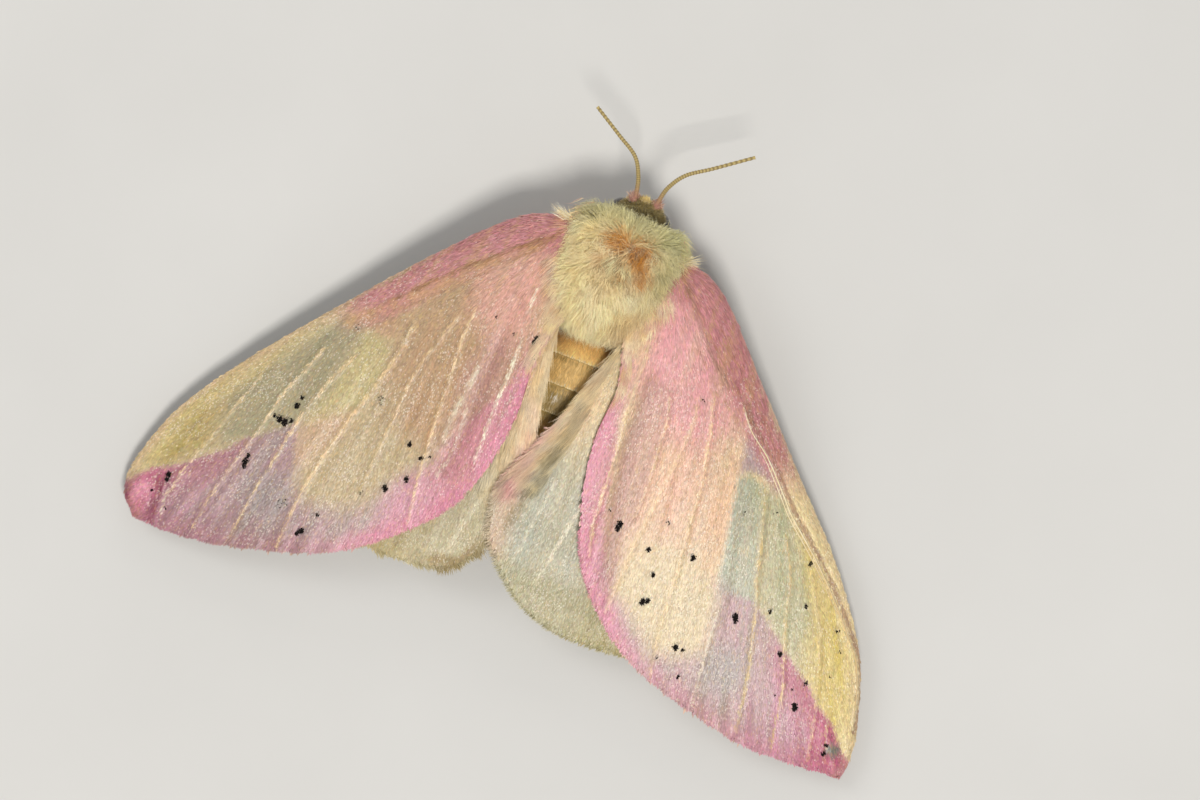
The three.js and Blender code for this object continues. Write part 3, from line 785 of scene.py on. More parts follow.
def forewing_relief(side, out, back):
    """Veins, pleats and creases as heights in millimetres."""
    spread = soft_step(4, 9, back)
    near_hem = soft_step(15.5, 18.5, back)
    height = 0.06 * spread * (streaks(out, back, 0.9, 11) - 0.5)
    height += 0.05 * spread * (streaks(out, back, 0.35, 12) - 0.5)
    height += 0.09 * near_hem * np.sin(2 * np.pi * ray_of(out, back) / 0.95)
    for paint, width, strength, line in LINES[side]:
        if paint.startswith("vein"):
            height += 0.05 * strength * on_line(line, out, back, width + 0.1)
    height -= 0.09 * on_line(TROUGH[side], out, back, 0.5)
    if side == "right":
        outside = -off_line(FOLD, out, back)
        height -= 0.12 * np.clip(outside / 1.1, 0, 1) ** 2 * soft_step(2, 5, back)
        height += 0.035 * on_line(FOLD, out, back, 0.12)
        height -= 0.05 * soft_step(0.3, 0.12, np.abs(outside - 0.2)) * spread
        beside = -off_line(WARM_EDGE, out, back)
        height -= 0.1 * soft_step(-0.1, 0.7, beside) * (1 - soft_step(0.7, 4, beside)) * spread
        height += 0.1 * spot(out, back, (16.4, 18.0), (0.6, 0.7))
    else:
        height += 0.16 * spot(out, back, (15.8, 17.7), (1.0, 1.3))
        height -= 0.12 * on_line([(15.1, 16.6), (15.0, 17.6), (14.9, 18.8)], out, back, 0.22)
    return height


def hindwing_relief(out, back):
    pleats = np.sin(2 * math.pi * (out - 0.1 * back) / 0.85)
    return 0.018 * pleats * soft_step(5, 9, back) + 0.03 * (streaks(out, back, 0.6, 21) - 0.5)


def forewing_colours(side, out, back):
    """The forewing's markings: pink root and outer band, with cream and yellow between."""
    from_hem = off_edge("forewing_" + side, "rear", out, back)
    fine = streaks(out, back, 0.16, 31)
    broad = streaks(out, back, 0.7, 32)
    plan = np.column_stack([out, back])
    cloud = mottle(plan, 1.1, 33)
    ragged = 0.35 * (cloud - 0.5)
    streaky = 0.86 + 0.35 * (fine - 0.5) + 0.35 * (broad - 0.5)
    colours = plain("tan" if side == "left" else "warm_cream", len(out))
    for paint, strength, soft, outline in AREAS[side]:
        cover = strength * in_area(outline, out + ragged, back + ragged, soft)
        colours = lay_on(colours, paint, cover * streaky)
    band = in_area(OUTER_BAND[side], out + 0.5 * ragged, back + 0.5 * ragged, 0.16)
    inward = soft_step(10.6, 9.2, out) * soft_step(3.5, 5.5, out)
    faint = in_area(OUTER_BAND[side], out + ragged, back + ragged, 0.7)
    band = band * (1 - inward) + faint * inward
    near_apex = soft_step(11.0, 14.0, out)
    beyond = np.abs(off_line(OUTER_BAND[side][1:8], out, back))
    hem_pink = soft_step(0.9, 0.1, from_hem) * soft_step(5.0, 7.0, back)
    trough_shade = on_line(TROUGH[side], out, back, 0.55) * soft_step(4.5, 6.5, back)
    in_front = 1 - soft_step(6.0, 8.4, back)
    edge = off_edge("forewing_" + side, "front", out, back) + 0.25 * (fine - 0.5)
    reach_in = soft_step(0.1, 0.45, edge + 0.5 * soft_step(5, 2, back))
    strip = reach_in * soft_step(1.9, 1.2, edge) * in_front
    rim = soft_step(0.5, 0.2, edge) * (1 - 0.6 * band) * soft_step(1.5, 6.5, back)
    gilt = soft_step(1.2, 0.5, edge) * soft_step(6.0, 8.0, back) * (1 - band)
    inner = soft_step(5.2, 3.8, out) * soft_step(15.5, 13.5, back)
    pinker = 0.25 + 0.6 * near_apex + 0.5 * (fine - 0.5) + 0.3 * (broad - 0.5)
    colours = lay_all(
        colours,
        ("band_mauve", 0.85 * band * (1 - inner)),
        ("inner_pink", 0.8 * band * inner),
        ("band_pink", band * pinker * (1 - 0.75 * inner)),
        ("band_grey", 0.55 * band * spot(out, back, (10.6, 15.8), (1.6, 1.6))),
        ("rose", 0.75 * band * near_apex * soft_step(1.7, 0.2, beyond)),
        ("tornus_pink", 0.85 * band * spot(out, back, (4.4, 14.0), (2.6, 2.6))),
        ("tip_pink", 0.85 * band * soft_step(14.6, 15.6, out)),
        # Painted shade along the hollow near the inner edge, in dark mauve
        ("hollow_shade_mauve", 0.5 * trough_shade),
        ("edge_pink", 0.9 * hem_pink * (1 - 0.6 * soft_step(5.5, 8.0, out))),
        ("costal_tan", 0.7 * rim),
        ("costal_pink", 0.95 * strip),
        ("costal_plum", 0.7 * strip * soft_step(0.35, 0.75, fine)),
        ("gold", 0.45 * strip * soft_step(0.45, 0.15, fine)),
        ("strip_gold", (0.7 if side == "right" else 0.4) * gilt))
    if side == "left":
        # Painted shade: the left forewing's outer band is darkened from its middle outwards, less at the
        # tip
        band_shade_reach = soft_step(6.0, 9.5, out) * (1 - 0.7 * soft_step(14.4, 15.2, out))
        colours = lay_all(colours, ("band_painted_shade", 0.42 * band * band_shade_reach),
                          # Painted highlight on the glossy bulge of the left tip, in lighter pink
                          ("edge_pink", 0.75 * spot(out, back, (15.75, 17.6), (0.6, 0.95))))
    else:
        outside = -off_line(FOLD, out, back)
        colours = lay_all(colours, ("fold_cream", 0.4 * on_line(FOLD, out, back, 0.08)),
                          # Thin brown painted shadow in the groove beside the fold
                          ("brown", 0.7 * soft_step(0.13, 0.04, np.abs(outside - 0.2))),
                          ("speck_grey", 0.95 * spot(out, back, (16.25, 17.4), (0.5, 0.46))))
    for i, (paint, width, strength, line) in enumerate(LINES[side]):
        broken = 0.45 + 0.55 * soft_step(0.25, 0.55, mottle(plan, 0.45, 34 + i))
        colours = lay_on(colours, paint, strength * broken * on_line(line, out, back, 0.88 * width))
    for x, y, radius, depth in SPECKS[side]:
        far = np.hypot(out - x, back - y) / radius
        halo = "speck" if depth > 0.5 else "speck_grey"
        colours = lay_on(colours, halo, 0.8 * depth * (1 - soft_step(0.5, 1.1, far)))
    return colours * (0.93 + 0.14 * fine)[:, None]


def hindwing_colours(side, out, back):
    """The hindwing's markings: cream and grey, pink along the inner edge and the outer margin."""
    fine = streaks(out, back, 0.2, 41)
    broad = streaks(out, back, 0.7, 42)

    def line(width, *points):
        return on_line(list(points), out, back, width)

    colours = lay_all(
        plain("hind_grey", len(out)),
        ("hind_yellow", soft_step(3, 5.5, out)),
        ("hind_cream", 0.9 * (1 - soft_step(7.0, 11.5, back))),
        ("hind_cream", 0.35 * broad))
    if side == "right":
        colours = lay_all(
            colours,
            ("root_cream", 0.8 * spot(out, back, (0.5, 6.8), (1.6, 3.6))),
            ("peach", 0.5 * line(1.0, (-0.5, 9.0), (-0.85, 12.2), (-0.6, 14.6))),
            ("hind_blush", 0.8 * line(0.75, (-0.1, 8.4), (-0.6, 9.8), (-0.9, 11.8))),
            ("vein_cream", 0.4 * line(0.2, (0.6, 7.0), (0.1, 8.8), (-0.3, 10.0))),
            ("hind_stripe", 0.5 * line(0.36, (0.8, 7.2), (0.5, 9.5), (0.25, 10.6), (-0.15, 12.2),
                                       (-0.4, 13.4))),
            ("vein_cream", 0.75 * line(0.12, (2.35, 11.2), (2.2, 12.0), (1.6, 15.4))),
            ("vein_cream", 0.4 * line(0.12, (0.9, 10.8), (0.3, 15.2))),
            ("hind_yellow", 0.6 * soft_step(13.8, 15.6, back)))
    else:
        tail = soft_step(0.4, 0.05, off_edge("hindwing_left", "rear", out, back))
        tail = 0.7 * tail * soft_step(13.6, 15, back) * soft_step(4.0, 2.4, out)
        colours = lay_all(
            colours,
            ("hind_cream", 0.4 * np.ones(len(out))),
            ("root_cream", 0.95 * line(1.5, (2.0, 5.0), (1.5, 7.0), (0.9, 9.6), (0.8, 12.0))),
            ("hind_blush", 0.5 * line(0.6, (0.95, 8.4), (0.8, 10.0), (0.7, 12.0))),
            ("vein_cream", 0.5 * line(0.14, (1.6, 11.5), (2.4, 15.0))),
            ("hind_ochre", tail))
    colours = lay_on(colours, "edge_pink", 0.5 * soft_step(7.0, 9.5, out))
    return colours * (0.93 + 0.14 * fine)[:, None]


def wing_place(wing, along, across):
    """Places on the wing's upper side, with no relief."""
    front = curve_through(wing["front"], along)
    rear = curve_through(wing["rear"], along)
    place = front + (rear - front) * across[..., None]
    arch = np.sin(np.pi * np.clip(across, 0, 1) ** 0.55)
    crown = np.maximum(np.sin(np.pi * np.clip(along, 0, 1) ** 0.7), 0) ** 0.6
    place[..., 2] += wing["crown"] * arch * crown
    return place


# How far the membrane lies inside the solids' upper side, and its own thickness
WING_COAT = 0.1
SKIN_THICKNESS = 0.14


def wing_surface(name, along, across):
    """Places on the wing's skin, in the moth's own millimetres, and as (out, back)."""
    wing = WINGS[name]
    place = wing_place(wing, along, across)
    out, back = place[:, 0].copy(), place[:, 1].copy()
    kind, side = name.split("_")
    relief = forewing_relief(side, out, back) if kind == "forewing" else hindwing_relief(out, back)
    place[:, 2] += relief - WING_COAT
    place[:, 0] *= wing["side"]
    return place, out, back


def wing_colours(name, places):
    """The wing's markings over places in the moth's own millimetres."""
    kind, side = name.split("_")
    colours_of = forewing_colours if kind == "forewing" else hindwing_colours
    return colours_of(side, places[:, 0] * WINGS[name]["side"], places[:, 1])


# The part of each wing that the skin covers, and the steps of its grid along and across
SKIN_RANGE = {"along": (0.0, 0.985), "across": (0.012, 0.985)}
SKIN_STEPS = {"forewing": (190, 100), "hindwing": (130, 80)}


def skin_range(way, part):
    low, high = SKIN_RANGE[way]
    return low + (high - low) * part


# Notches beside the wing tips: how far out, how wide and how deep
TIP_NOTCH = {"left": (15.05, 0.12, 0.16), "right": (15.98, 0.15, 0.5)}


def hem_cut(name, along, across):
    """Across, drawn back from the outer margin where the margin is scalloped or notched."""
    kind, side = name.split("_")
    edge = curve_through(WINGS[name]["rear"], along)
    worn = mottle(edge[:, :2], 0.45, 71) - 0.3
    cut = 0.012 * worn * soft_step(3, 6, edge[:, 0])
    if kind == "forewing":
        where, width, depth = TIP_NOTCH[side]
        cut = cut + depth * np.exp(-((edge[:, 0] - where) / width) ** 2)
    return across * (1 - np.maximum(cut, 0))


def wing_skin(name):
    """The wing's membrane: a grid laid over the wing's curves and given its thickness."""
    kind = name.split("_")[0]
    steps = SKIN_STEPS[kind]
    deselect()
    bpy.ops.mesh.primitive_grid_add(x_subdivisions=steps[0], y_subdivisions=steps[1], size=1)
    piece = bpy.context.object
    grid = vertex_places(piece.data) + 0.5
    across = 0.5 - 0.5 * np.cos(np.pi * np.clip(grid[:, 1], 0, 1))
    along = skin_range("along", grid[:, 0])
    across = hem_cut(name, along, skin_range("across", across))
    place = wing_surface(name, along, across)[0]
    set_places(piece.data, place)
    paint_vertices(piece.data, wing_colours(name, place))
    up = np.empty(len(piece.data.polygons) * 3)
    piece.data.polygons.foreach_get("normal", up)
    if up.reshape(-1, 3)[:, 2].mean() < 0:
        piece.data.flip_normals()
    apply_modifier(piece, "SOLIDIFY", thickness=SKIN_THICKNESS, offset=-1)
    finish_piece(piece, name + "_skin", finishes["wing_skin"], kind, name)


# The grid that finds even places on a wing, and the step that finds its slope
WING_CELLS = 90
WING_STEP = 0.002


def scatter_on_wing(name, count, rng, lowest=(0, 0), highest=(1, 1)):
    """Even random places on a wing, as along and across."""
    cells = WING_CELLS
    edges = np.linspace(0, 1, cells + 1)
    a0, c0 = np.meshgrid(edges, edges, indexing="ij")
    corner = wing_place(WINGS[name], skin_range("along", a0), skin_range("across", c0))
    across_way = corner[:-1, 1:] - corner[:-1, :-1]
    along_way = corner[1:, :-1] - corner[:-1, :-1]
    area = np.linalg.norm(np.cross(across_way, along_way), axis=2)
    inside = (edges[:-1] >= lowest[0]) & (edges[:-1] < highest[0])
    within = (edges[:-1] >= lowest[1]) & (edges[:-1] < highest[1])
    picks = picks_by_area(area * inside[:, None] * within[None, :], count, rng)
    along = (picks // cells + rng.random(count)) / cells
    across = (picks % cells + rng.random(count)) / cells
    return skin_range("along", along), skin_range("across", across)


def wing_frame(name, along, across):
    """Place, upward normal, lie of the scales and plan place on a wing."""
    place, out, back = wing_surface(name, along, across)
    further = wing_surface(name, along + WING_STEP, across)[0] - place
    beside = wing_surface(name, along, across + WING_STEP)[0] - place
    up = unit(np.cross(further, beside))
    up *= np.sign(up[:, 2])[:, None]
    slope = RAY_BEND * ray_of(out, back) ** 2
    ray = unit(np.column_stack([slope, np.ones(len(out))]))
    fan = unit(np.column_stack([out - 2.0, back + 0.5]))
    turn = soft_step(2, 9, back)[:, None]
    way = unit(fan * (1 - turn) + ray * turn)
    front = WINGS[name]["front"]
    costal = curve_through(front, along + 0.01) - curve_through(front, along)
    beside_costa = (np.clip(1 - across / 0.2, 0, 1) * (1 - soft_step(0.6, 0.85, along)))[:, None]
    way = unit(way * (1 - beside_costa) + unit(costal[:, :2]) * beside_costa)
    lie = np.column_stack([way[:, 0] * WINGS[name]["side"], way[:, 1], np.zeros(len(out))])
    return place, up, lie, out, back


# How many scales each wing has, on its upper side and on its underside
SCALE_COUNT = {"forewing": (48000, 8000), "hindwing": (19000, 5000)}
# Range of length and of width of the scales, and how much larger they are on the undersides
SCALE_SIZE = {"wing": ((0.2, 0.3), (0.06, 0.095)), "speck": ((0.07, 0.11), (0.035, 0.06)),
              "fringe": ((0.07, 0.27), (0.025, 0.05))}
UNDER_GROWTH = 1.5
# Glints are short scales painted pale as highlights. This is their share where they lie neither thick nor
# thin.
GLINT_SHARE = 0.12
GLINT_LENGTH = (0.08, 0.13)
# Of the scales on the part of a hindwing that the forewing covers, most are moved to the rest of
# it. That part ends this far across, and so many of its scales are moved.
SHOWN_FROM = 0.5
MOVED_SHARE = 0.75


def stray_scales(colours, stray, shining, rng):
    """Single scales that differ from their neighbours: glints painted pale as highlights, gold ones and
    brown ones.
    """
    count = len(colours)
    colours = lay_all(colours, ("glint", 0.3 * shining),
                      ("gold", 0.28 * ((stray > 0.18) & (stray < 0.33))),
                      ("brown", 0.26 * ((stray > 0.4) & (stray < 0.54))))
    return colours * rng.normal(1, 0.09, (count, 1)) * rng.normal(1, 0.025, (count, 3))


def scale_sizes(kind, count, rng):
    long, wide = SCALE_SIZE[kind]
    return rng.uniform(*long, count), rng.uniform(*wide, count)


def wing_unwrap(along, across, under=False):
    """Places on an unwrap of the wing: its upper side on the left half, its underside on the right."""
    u = 0.02 + 0.44 * across + (0.5 if under else 0)
    return np.column_stack([u, 0.02 + 0.96 * along])


def scale_wing(name, rng):
    kind = name.split("_")[0]
    for under, count in zip((False, True), SCALE_COUNT[kind]):
        along, across = scatter_on_wing(name, count, rng)
        if kind == "hindwing" and not under:
            hidden = (across < SHOWN_FROM) & (rng.random(count) < MOVED_SHARE)
            shown = scatter_on_wing(name, count, rng, (0, SHOWN_FROM), (1, 1))
            along = np.where(hidden, shown[0], along)
            across = np.where(hidden, shown[1], across)
        across = hem_cut(name, along, across)
        place, up, lie = wing_frame(name, along, across)[:3]
        near_root = soft_step(7, 1.5, place[:, 1])
        length, width = scale_sizes("wing", count, rng)
        length = length * (1 + 0.9 * near_root)
        width = width * (1 - 0.3 * near_root)
        if under:
            place = place - up * SKIN_THICKNESS
            up = -up
            length = length * UNDER_GROWTH
            width = width * UNDER_GROWTH
        seen = place + unit(lie) * (0.5 * length)[:, None] + rng.normal(0, 0.035, (count, 3))
        colours = wing_colours(name, seen)
        if under:
            colours = colours * 0.55 + 0.45 * linear("warm_cream")
        stray = rng.random(count)
        # Scales picked here as glints get a pale painted highlight
        shining = stray < GLINT_SHARE * (0.3 + 1.8 * soft_step(0.35, 0.75, mottle(place, 0.9, 95)))
        colours = stray_scales(colours, stray, shining, rng)
        length = np.where(shining, rng.uniform(*GLINT_LENGTH, count), length)
        width = np.where(shining, 0.8 * width, width)
        place = place + (0.01 + 0.012 * shining)[:, None] * up
        scales(f"{name}_scales_{'under' if under else 'upper'}", place, up, lie,
               length, width, colours, wing_unwrap(along, across, under),
               finishes["wing_scales"], kind, rng)


SEARCH_STEPS = 320


def near_on_wing(name, out, back):
    """The along and across of the places on a wing that lie over (out, back)."""
    part = np.linspace(0, 1, SEARCH_STEPS)
    a, c = (grid.ravel() for grid in np.meshgrid(part, part, indexing="ij"))
    laid = wing_place(WINGS[name], skin_range("along", a), skin_range("across", c)) * (1, 1, 0)
    near = nearest(laid, np.column_stack([out, back, np.zeros(len(out))]))
    return skin_range("along", a[near]), skin_range("across", c[near])


# Each ridge of the fold: how far it runs, how far it lies beside the fold's line, and its girth
FOLD_RIDGES = [(0.0, 0.97, 0.0, 0.042), (0.12, 0.62, 0.13, 0.034)]
RIDGE_STATIONS = 180
RIDGE_ABOVE_SKIN = 0.045


def fold_ridges(name):
    """Fine pale ridges along the fold beside the right forewing's front edge."""
    ridges = []
    for first, last, aside, girth in FOLD_RIDGES:
        line = curve_through(FOLD, np.linspace(first, last, 90))
        run = unit(np.gradient(line, axis=0))
        out = line[:, 0] - aside * run[:, 1]
        back = line[:, 1] + aside * run[:, 0]
        height = wing_surface(name, *near_on_wing(name, out, back))[0][:, 2]
        height = np.convolve(np.pad(height, 3, mode="edge"), np.full(7, 1 / 7), mode="valid")
        points = np.column_stack([out * WINGS[name]["side"], back, height + RIDGE_ABOVE_SKIN])
        ridges.append(drawn_limb(points, lambda part: girth * (0.35 + 0.65 * math.sin(math.pi * part)),
                                 RIDGE_STATIONS, 1))
    piece = joined(ridges)
    places = vertex_places(piece.data)
    paint_vertices(piece.data, lay_all(plain("fold_cream", len(places)),
                                       ("strip_gold", mottle(places, 0.25, 96)),
                                       ("gold", 0.7 * soft_step(7.5, 12.0, places[:, 1]))))
    finish_piece(piece, name + "_fold", finishes["wing_scales"], "forewing")


# A full dark speck of this radius has this many scales
SPECK_SCALES = 46
SPECK_RADIUS = 0.13


def speck_wing(name, rng):
    """Small dark specks, each a knot of short black scales that stand over the rest."""
    side = name.split("_")[1]
    sizes = np.array(SPECKS[side])
    numbers = SPECK_SCALES * sizes[:, 3] ** 3 * (sizes[:, 2] / SPECK_RADIUS) ** 1.5
    which = np.repeat(np.arange(len(sizes)), np.maximum(numbers, 3).astype(int))
    count = len(which)
    turn = rng.uniform(0, 2 * np.pi, count)
    reach = 0.95 * rng.random(count) ** 0.7 * sizes[which, 2]
    out = sizes[which, 0] + 0.72 * reach * np.cos(turn)
    back = sizes[which, 1] + 1.0 * reach * np.sin(turn)
    along, across = near_on_wing(name, out, back)
    place, up, lie, out_near, back_near = wing_frame(name, along, across)
    place[:, 0] += (out - out_near) * WINGS[name]["side"]
    place[:, 1] += back - back_near
    lie = lie + rng.normal(0, 0.5, lie.shape)
    colours = plain("speck", count) * rng.uniform(0.4, 1.8, (count, 1))
    scales(name + "_specks", place + 0.05 * up, up, lie, *scale_sizes("speck", count, rng),
           colours, wing_unwrap(along, across), finishes["speck"], "forewing", rng,
           tilt=0.1, scatter=0.3)


def wing_hair(name, label, count, lowest, highest, long, lift, paints, rng, fan=0.0, inward=0.0):
    """Long soft hair rooted on a wing, which lies back along it."""
    kind = name.split("_")[0]
    along, across = scatter_on_wing(name, count, rng, lowest, highest)
    place, up, lie = wing_frame(name, along, across)[:3]
    onward = wing_surface(name, along + 0.02, across)[0] - place
    edgeward = place - wing_surface(name, along, across - 0.05)[0]
    lie = unit(unit(onward) + fan * lie + inward * unit(edgeward) + rng.normal(0, 0.12, lie.shape))
    cloud = mottle(place, 0.5, 81)
    length = rng.uniform(*long, count) * (0.8 + 0.4 * cloud)
    seen = place + 0.5 * length[:, None] * lie
    colours = wing_colours(name, seen)
    for i, (paint, strength) in enumerate(paints):
        colours = lay_on(colours, paint, strength * soft_step(0.2, 0.7, mottle(place, 0.3, 82 + i)))
    colours = colours * rng.normal(1, 0.07, (count, 1))
    wool(f"{name}_{label}", place, up, lie, length, rng.uniform(0.022, 0.04, count),
         rng.normal(lift, 0.08, count), colours, wing_unwrap(along, across), kind, rng,
         curl=0.05, root_shade=0.96, lock=0.3, lock_size=0.12)


# The fringe of each wing: how many scales, and how far along the rear edge it starts
FRINGE = {"forewing": (6400, 0.42), "hindwing": (4600, 0.3)}


def fringe_wing(name, rng):
    """The ragged fringe along the outer margin."""
    kind, side = name.split("_")
    count, starts = FRINGE[kind]
    along = rng.uniform(starts, 1, count) * SKIN_RANGE["along"][1]
    across = np.full(count, SKIN_RANGE["across"][1]) - rng.uniform(0, 0.012, count)
    tip = rng.random(count) < 0.12
    along = np.where(tip, SKIN_RANGE["along"][1] - rng.uniform(0, 0.004, count), along)
    across = np.where(tip, rng.uniform(0.02, 0.98, count), across)
    across = hem_cut(name, along, across)
    place, up, lie, out, back = wing_frame(name, along, across)
    near = wing_place(WINGS[name], along, np.clip(across - 0.05, 0, 1))
    away = (wing_place(WINGS[name], along, across) - near) * (WINGS[name]["side"], 1, 1)
    lie = unit(unit(away) + 0.5 * unit(lie) + rng.normal(0, 0.2, (count, 3)))
    length, width = scale_sizes("fringe", count, rng)
    colours = wing_colours(name, place) * rng.normal(1.02, 0.08, (count, 1))
    colours = lay_on(colours, "vein_cream", 0.4 * (rng.random(count) < 0.3))
    if kind == "forewing":
        where, wide = TIP_NOTCH[side][:2]
        length = length * (1 - 0.85 * np.exp(-((out - where) / (1.6 * wide)) ** 2))
    else:
        length = length * 1.7
        colours = lay_on(colours, "hind_yellow", 0.5 * rng.random(count))
    if name == "hindwing_left":
        ragged = mottle(np.column_stack([out, back]), 0.6, 72)
        length = length * (0.8 + 1.1 * ragged)
        lie = unit(lie + np.column_stack([1.6 * (ragged - 0.5), np.zeros(count), 0.6 * ragged]))
        colours = lay_on(colours, "hind_ochre", 0.4 * soft_step(0.25, 0.6, ragged)
                         * soft_step(3.8, 2.2, out))
    scales(name + "_fringe", place - 0.05 * up, up, lie, length, width, colours,
           wing_unwrap(along, across), finishes["wing_scales"], kind, rng,
           tilt=0.0, scatter=0.3)


# Body

def body_line(back):
    return BODY_LINE["x"] + BODY_LINE["lean"] * (back - BODY_LINE["y"])


def swell(along, blunt, peak):
    """The girth of a rounded form, 0 at either end and 1 at its widest."""
    place = np.clip(along, 0, 1) ** (math.log(0.5) / math.log(peak))
    return np.maximum(0, 1 - np.abs(2 * place - 1) ** blunt) ** (1 / blunt)


def off_middle(x, y):
    """How far places lie beside the body's middle line."""
    return np.abs(x - body_line(y))


def body_way(form, even):
    """How far back places along a form's skin lie."""
    coat = form["coat"]
    return form["front"] + coat + (form["back"] - form["front"] - 2 * coat) * even


def body_place(form, even, turn):
    """Places on the skin of the thorax or the head."""
    back = body_way(form, even)
    girth = swell(even, form["blunt"], form["peak"])
    angle = 2 * np.pi * turn
    reach = np.where(np.sin(angle) > 0, form["above"], form["below"])
    return np.column_stack([
        body_line(back) + (form["half_width"] - form["coat"]) * girth * np.cos(angle),
        back,
        form["middle"] + (reach - form["coat"]) * girth * np.sin(angle),
    ])


PLATE_LENGTH = 1.2
# Where each of the abdomen's plates begins
SEGMENT_EDGES = [4.5, 5.55, 6.85, 8.1, 9.3, 10.4, 11.4, 12.3, 13.0]


def segment_step(back):
    """How far the abdomen's plates stand out: each one swells towards its rear edge."""
    edges = np.array(SEGMENT_EDGES)
    i = np.clip(np.searchsorted(edges, back), 1, len(edges) - 1)
    part = np.clip((back - edges[i - 1]) / (edges[i] - edges[i - 1]), 0, 1)
    return part, 0.19 * part ** 1.3 * (1 - soft_step(0.92, 1.0, part))


def abdomen_place(even, turn):
    """Places on the abdomen's skin, with its plates."""
    form = ABDOMEN
    back = body_way(form, even)
    crest = np.interp(back, *zip(*ABDOMEN_CREST))
    keel = form["keel_front"] + (form["keel_back"] - form["keel_front"]) * even
    girth = swell(even, form["blunt"], form["peak"])
    angle = 2 * np.pi * turn
    upper = 0.35 + 0.65 * soft_step(-0.3, 0.3, np.sin(angle))
    step = segment_step(back)[1] * upper * soft_step(13.2, 11.6, back) - 0.1
    wide = form["half_width"] * (1 - form["taper"] * even) - form["coat"] + step
    high = (crest - keel) / 2 - form["coat"] + step
    return np.column_stack([
        body_line(back) + wide * girth * np.cos(angle),
        back,
        (crest + keel) / 2 + high * girth * np.sin(angle),
    ])


FORM_SIDES = 32


def drawn_form(place_of, steps):
    """A closed form made by extruding a disc from ring to ring and sizing each ring."""
    even = 0.5 - 0.5 * np.cos(np.pi * np.linspace(0.05, 0.95, steps))
    right, top, left, low = (place_of(even, np.full(steps, turn)) for turn in (0, 0.25, 0.5, 0.75))
    middles = np.column_stack([(right + left)[:, 0] / 2, right[:, 1], (top + low)[:, 2] / 2])
    wide = (right - left)[:, 0] / 2
    high = (top - low)[:, 2] / 2
    deselect()
    bpy.ops.mesh.primitive_circle_add(vertices=FORM_SIDES, radius=1, fill_type="NGON",
                                      location=middles[0], rotation=(math.pi / 2, 0, 0))
    piece = bpy.context.object
    bpy.ops.object.transform_apply(location=True, rotation=True, scale=True)
    bpy.ops.object.mode_set(mode="EDIT")
    bpy.ops.mesh.select_all(action="SELECT")
    bpy.ops.transform.resize(value=(wide[0], 1, high[0]), center_override=middles[0])
    for i in range(1, steps):
        bpy.ops.mesh.extrude_region_move(
            TRANSFORM_OT_translate={"value": tuple(middles[i] - middles[i - 1])})
        bpy.ops.transform.resize(value=(wide[i] / wide[i - 1], 1, high[i] / high[i - 1]),
                                 center_override=middles[i])
    bpy.ops.mesh.select_all(action="SELECT")
    bpy.ops.mesh.normals_make_consistent(inside=False)
    bpy.ops.object.mode_set(mode="OBJECT")
    return piece


def drawn_limb(points, radius_of, stations, roundness=3):
    """A closed limb along a smooth curve through points."""
    along = np.linspace(0, 1, stations)
    line = curve_through(points, along)
    curve = bpy.data.curves.new("limb", "CURVE")
    curve.dimensions = "3D"
    curve.bevel_depth = 1
    curve.bevel_resolution = roundness
    curve.use_fill_caps = True
    spline = curve.splines.new("POLY")
    spline.points.add(stations - 1)
    for point, place, part in zip(spline.points, line, along):
        point.co = (*place, 1)
        point.radius = radius_of(part)
    choose(add_object("limb", curve))
    bpy.ops.object.convert(target="MESH")
    return bpy.context.object


def leg_points(pair, side):
    return [(body_line(back) + side * out, back, up) for out, back, up in LEGS[pair]]


def palp_points(side, line):
    x = body_line(HEAD["front"]) + 0.3 * side
    return [(x, y, z) for y, z in line]


# How far down the leg the knee and the ankle are
KNEE = 0.45
ANKLE = 0.72


def leg_radius(part):
    """Thick at the thigh, slim at the shin, and five small joints in the foot."""
    if part < KNEE:
        return 0.27 + 0.08 * math.sin(math.pi * part / KNEE)
    if part < ANKLE:
        return 0.2 + 0.05 * math.sin(math.pi * (part - KNEE) / (ANKLE - KNEE))
    return 0.125 + 0.03 * abs(math.sin(5 * math.pi * (part - ANKLE) / (1 - ANKLE)))


def palp_radius(part):
    return 0.2 - 0.11 * part ** 2


SKIN_VOXEL = 0.075


def body_skin():
    """Thorax, head, abdomen, palps and legs as one skin."""
    parts = [drawn_form(partial(body_place, THORAX), 18), drawn_form(partial(body_place, HEAD), 14),
             drawn_form(abdomen_place, 90)]
    for side in SIDES.values():
        parts.append(drawn_limb(palp_points(side, [PALP_ROOT, *PALP_LINE]), palp_radius, 16))
        for pair in LEGS:
            y, z = leg_points(pair, side)[0][1:]
            inner = (body_line(y) + 0.5 * side, y, z + 0.7)
            parts.append(drawn_limb([inner, *leg_points(pair, side)], leg_radius, 60))
    skin = joined(parts)
    apply_modifier(skin, "REMESH", mode="VOXEL", voxel_size=SKIN_VOXEL)
    apply_modifier(skin, "SMOOTH", factor=0.5, iterations=3)
    places = vertex_places(skin.data)
    places[:, 2] = np.maximum(places[:, 2], 0.0)
    set_places(skin.data, places)
    paint_vertices(skin.data, body_colours(places))
    finish_piece(skin, "body_skin", finishes["body_skin"], "thorax_wool", "thorax", "head",
                 "abdomen", *[f"palp_{side}" for side in SIDES],
                 *[f"leg_{pair}_{side}" for side in SIDES for pair in LEGS])


# The orange patches of the thorax: middle, reach and strength
ORANGE_PATCHES = [((0.25, 0.15), (0.72, 0.85), 1.0), ((-0.8, 0.5), (0.58, 1.05), 1.0),
                  ((-1.2, 1.35), (0.5, 0.8), 0.9), ((0.75, 1.2), (0.35, 0.5), 0.45),
                  ((-0.2, 1.75), (0.5, 0.3), 0.3)]


